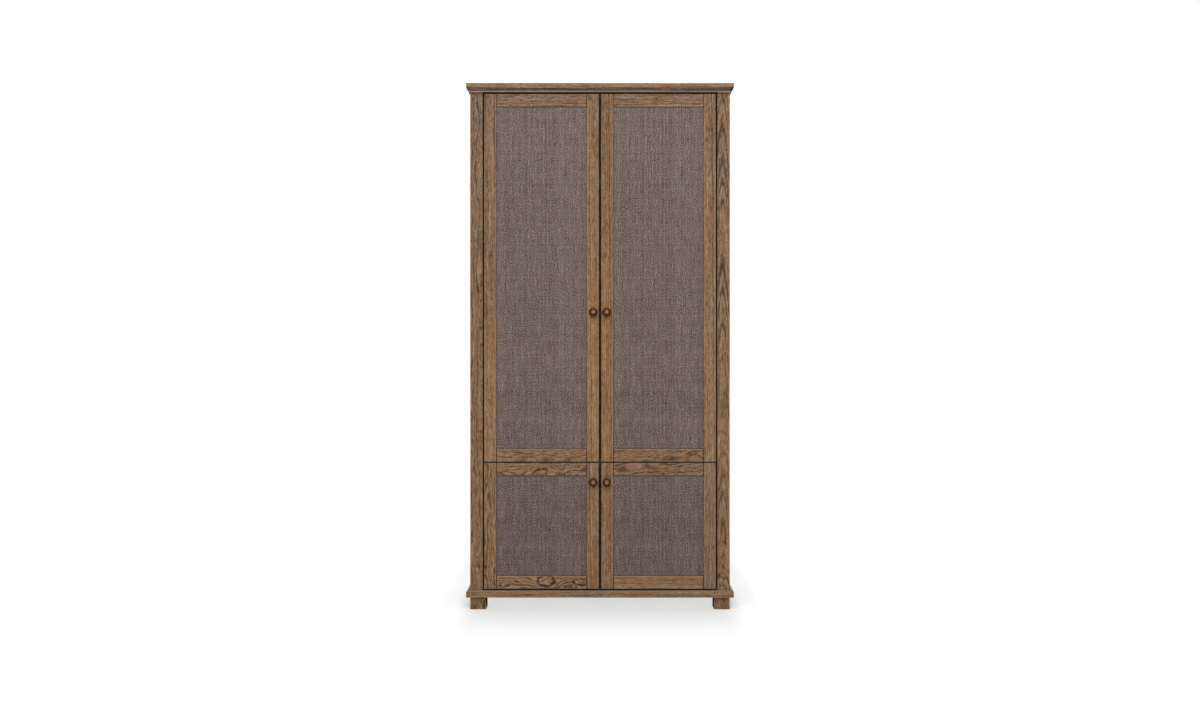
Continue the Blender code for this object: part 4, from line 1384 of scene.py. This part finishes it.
    def build(self) -> None:
        """Set up the whole studio."""
        self.camera()
        self.world()
        self.floor()
        self.lamp("key_lamp", Vector((-0.15, -3.4, 3.6)), (3.6, 2.8), self.key)
        self.lamp("fill_lamp", Vector((0.4, -5.2, 2.6)), (1.6, 0.8), self.fill)
        bpy.context.scene.view_settings.view_transform = "Standard"


def seam(node: str, opening: Seam) -> Seam | None:
    """Find the outline along which stain and painted gap shade lie on a piece.

    Args:
        node: the piece.
        opening: the cabinet's opening.

    Returns:
        The outline of the door that the piece belongs to, the opening's for a piece that borders
        it, or None.
    """
    if node.endswith(("stile", "rail")) and not node.startswith("side"):
        door = node.rsplit("_", 2)[0]
        hinge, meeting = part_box(f"{door}_hinge_stile"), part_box(f"{door}_meeting_stile")
        low = Vector(min(pair) for pair in zip(hinge[0], meeting[0]))
        high = Vector(max(pair) for pair in zip(hinge[1], meeting[1]))
        high.y = low.y
        if "left" in door:
            high.x -= MEETING_STAIN_AND_SHADE
        else:
            low.x += MEETING_STAIN_AND_SHADE
        if "lower" in door:
            low.z -= FOOT_NARROWING
        return Seam(low, high, outer=False)
    return opening if node.startswith(("post_front", "base", "cornice_front")) else None


def joint(node: str) -> tuple[str, float, float] | None:
    """Find where a rail meets its stiles or posts.

    Args:
        node: the piece.

    Returns:
        The axis and the two places, or None for a piece that isn't a rail.
    """
    if node.startswith("side_rail"):
        return "Y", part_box("post_front_left")[1].y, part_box("post_back_left")[0].y
    if not node.endswith("rail"):
        return None
    low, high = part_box(node.rsplit("_", 2)[0] + "_linen")
    return "X", low.x, high.x


def timber() -> tuple[Board, ...]:
    """List the boards of the cabinet, with the figure that each shows.

    Returns:
        One Board for each timber node.
    """
    crown, rift, quarter, slab = Cut.CROWN, Cut.RIFT, Cut.QUARTER, Cut.SLAB
    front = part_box("upper_left_hinge_stile")[0].y
    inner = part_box("foot_front_right")[0].x / MM
    base_top, cornice_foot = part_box("base_board")[1].z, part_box("cornice_front")[0].z
    opening = Seam(
        Vector((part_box("post_front_left")[1].x, front, base_top - BASE_STAIN_AND_SHADE)),
        Vector((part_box("post_front_right")[0].x, front, cornice_foot + CORNICE_STAIN_AND_SHADE)),
        outer=True,
    )
    # Painted shade in the ogee, under the fillet and on the ends past the posts; painted sheen on
    # the fillet and the bead.
    cornice = Moulding(
        foot=1966.0, streak=1.5,
        painted_shade=(
            (0.0, 0.6), (0.8, 0.6), (1.3, 0.0), (5.0, 0.0), (6.0, 0.15), (12.0, 0.28),
            (19.0, 0.36), (21.0, 0.0),
        ),
        painted_sheen=((0.0, 0.0), (0.8, 0.0), (1.3, 0.76), (3.4, 0.72), (5.0, 0.34), (8.0, 0.0)),
        end_shade=((5.0, 0.0), (5.4, 0.36), (19.0, 0.36), (22.0, 0.0)),
    )
    # Painted sheen on the base's sloping top, and painted shade on its ends past the posts.
    base = Moulding(
        foot=48.0, painted_sheen=((20.4, 0.0), (20.8, 0.42), (26.0, 0.42), (27.2, 0.0)),
        end_shade=((19.0, 0.0), (20.4, 0.5), (27.5, 0.5)),
    )
    # Painted shadow of the cornice on the tops of the posts.
    shaded = Moulding(
        foot=1926.0, painted_shade=((21.0, 0.0), (25.0, 0.12), (30.0, 0.20), (34.0, 0.28), (40.0, 0.40)),
    )
    boards = [
        Board(
            "post_front_right", crown, 1, -0.02, rise=0.0, lean=0.1, swirl=4, heave=1.5,
            taper=0.05, ring=5.0, contrast=1.38, wear_and_highlight=0.2, fade=0.08, mould=shaded,
            eyes=(Eye(470.0, 177.0, 17.0, 62.0, 16.0), Eye(468.0, 740.0, 24.0, 110.0, 12.0)),
        ),
        Board(
            "post_front_left", rift, 2, -0.05, rise=0.6, lean=0.5, swirl=70, ring=9.0,
            contrast=1.05, wear_and_highlight=0.2, fade=0.09, mould=shaded,
        ),
        Board("base_board", rift, 5, 0.065, face="Y", rise=0.2, lean=0.2, wear_and_highlight=0.1, mould=base),
        Board(
            "cornice_front", rift, 6, 0.02, face="Y", rise=0.3, lean=0.3, wear_and_highlight=0.0, contrast=1.7,
            mould=cornice,
        ),
        Board("top_board", slab, 9, rise=0.6),
        Board("foot_front_left", slab, 10, -0.07, rise=6.0, face="Y", along="Z", inner=inner),
        Board("foot_front_right", rift, 11, -0.02, lean=8.0, face="Y", along="Z", inner=inner),
        Board("upper_left_hinge_stile", quarter, 20, -0.07, ring=8.5, contrast=0.6, fade=0.18),
        Board("upper_left_meeting_stile", quarter, 21, 0.01, ring=8.5, richness=1.05, fade=0.18),
        Board("upper_right_meeting_stile", quarter, 22, -0.04, ring=8.5, richness=1.09, fade=0.20),
        Board("upper_right_hinge_stile", quarter, 23, -0.025, ring=8.5, fade=0.20),
        Board(
            "lower_left_hinge_stile", slab, 24, 0.075, rise=1.4, swirl=30, wave=0.35,
            contrast=1.55,
        ),
        Board("lower_left_meeting_stile", quarter, 25, 0.04, ring=8.5, contrast=1.4),
        Board("lower_right_meeting_stile", quarter, 26, 0.01, ring=8.5),
        Board("lower_right_hinge_stile", rift, 27, 0.035, richness=0.93),
        Board("upper_left_top_rail", quarter, 28, -0.195, ring=8.5, contrast=0.7),
        Board("upper_right_top_rail", quarter, 29, -0.12, ring=8.5),
        Board("upper_left_bottom_rail", slab, 30, -0.01, rise=2.5, heave=18),
        Board(
            "upper_right_bottom_rail", slab, 31, 0.0, rise=3.0, lean=9.0, swirl=30, wave=0.5,
            heave=8, contrast=1.2,
        ),
        Board(
            "lower_left_top_rail", slab, 32, 0.055, rise=3.5, swirl=44, wave=0.55, heave=24,
            contrast=1.6,
        ),
        Board(
            "lower_right_top_rail", slab, 33, 0.025, rise=3.5, lean=9.0, swirl=26, wave=0.4,
            contrast=1.5,
        ),
        Board(
            "lower_left_bottom_rail", slab, 34, 0.195, rise=2.0, swirl=44, wave=0.45,
            contrast=2.1,
            eyes=(
                Eye(-206.0, 108.5, 31.0, 19.5, 9.0, 0.75),
                Eye(-72.0, 106.0, 30.0, 11.0, 9.0, 0.35),
            ),
        ),
        Board("lower_right_bottom_rail", rift, 35, 0.085, ring=7.0),
        Board("back_panel", slab, 60, leaf=180, ring=5.5),
    ]
    for number, side in enumerate(SIDES):
        boards += [
            Board(f"post_back_{side}", rift, 4 - number),
            Board(f"cornice_{side}", rift, 7 + number, -0.03, face="X", wear_and_highlight=0.0, mould=cornice),
            Board(f"foot_back_{side}", rift, 12 + number, -0.08, face="Y", inner=inner),
            Board(f"side_rail_bottom_{side}", rift, 40 + number, face="X"),
            Board(f"side_rail_top_{side}", rift, 42 + number, face="X"),
            Board(f"side_panel_{side}", slab, 44 + number, face="X", leaf=165, ring=5.5),
            *(Board(f"{level}_{side}_panel", rift, 50 + number, leaf=180) for level in LEVELS),
        ]
    for number, shelf in enumerate(("fixed_shelf", "shelf_1", "shelf_2", "shelf_3")):
        boards.append(Board(shelf, rift, 61 + number, leaf=150))
    return tuple(
        replace(board, seam=seam(board.node, opening), joint=joint(board.node))
        for board in boards
    )


def main() -> None:
    """Dress the cabinet and report each piece."""
    logging.basicConfig(level=logging.INFO, format="%(message)s", stream=sys.stdout)
    Woodwork(timber()).build(SmokedOak())
    linen, brass = SlubLinen(), AgedBrass()
    for number, door in enumerate(("upper_left", "upper_right", "lower_left", "lower_right")):
        # The lower cloths are toned darker, as painted shade for the light that falls off lower
        # down.
        tone = -0.10 if "lower" in door else -0.065
        LinenPanel(door, tone, seed=number).build(linen)
        Knob(door).build(brass)
    bronze, plastic = PlainMetal().dress(), MouldedPlastic().dress()
    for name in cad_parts:
        if name.startswith(("pivot", "magnetic")):
            paint(name, bronze if name.startswith("pivot") else plastic)
    Hardware(bronze, plastic).build()
    Studio().build()


if __name__ == "__main__":
    main()
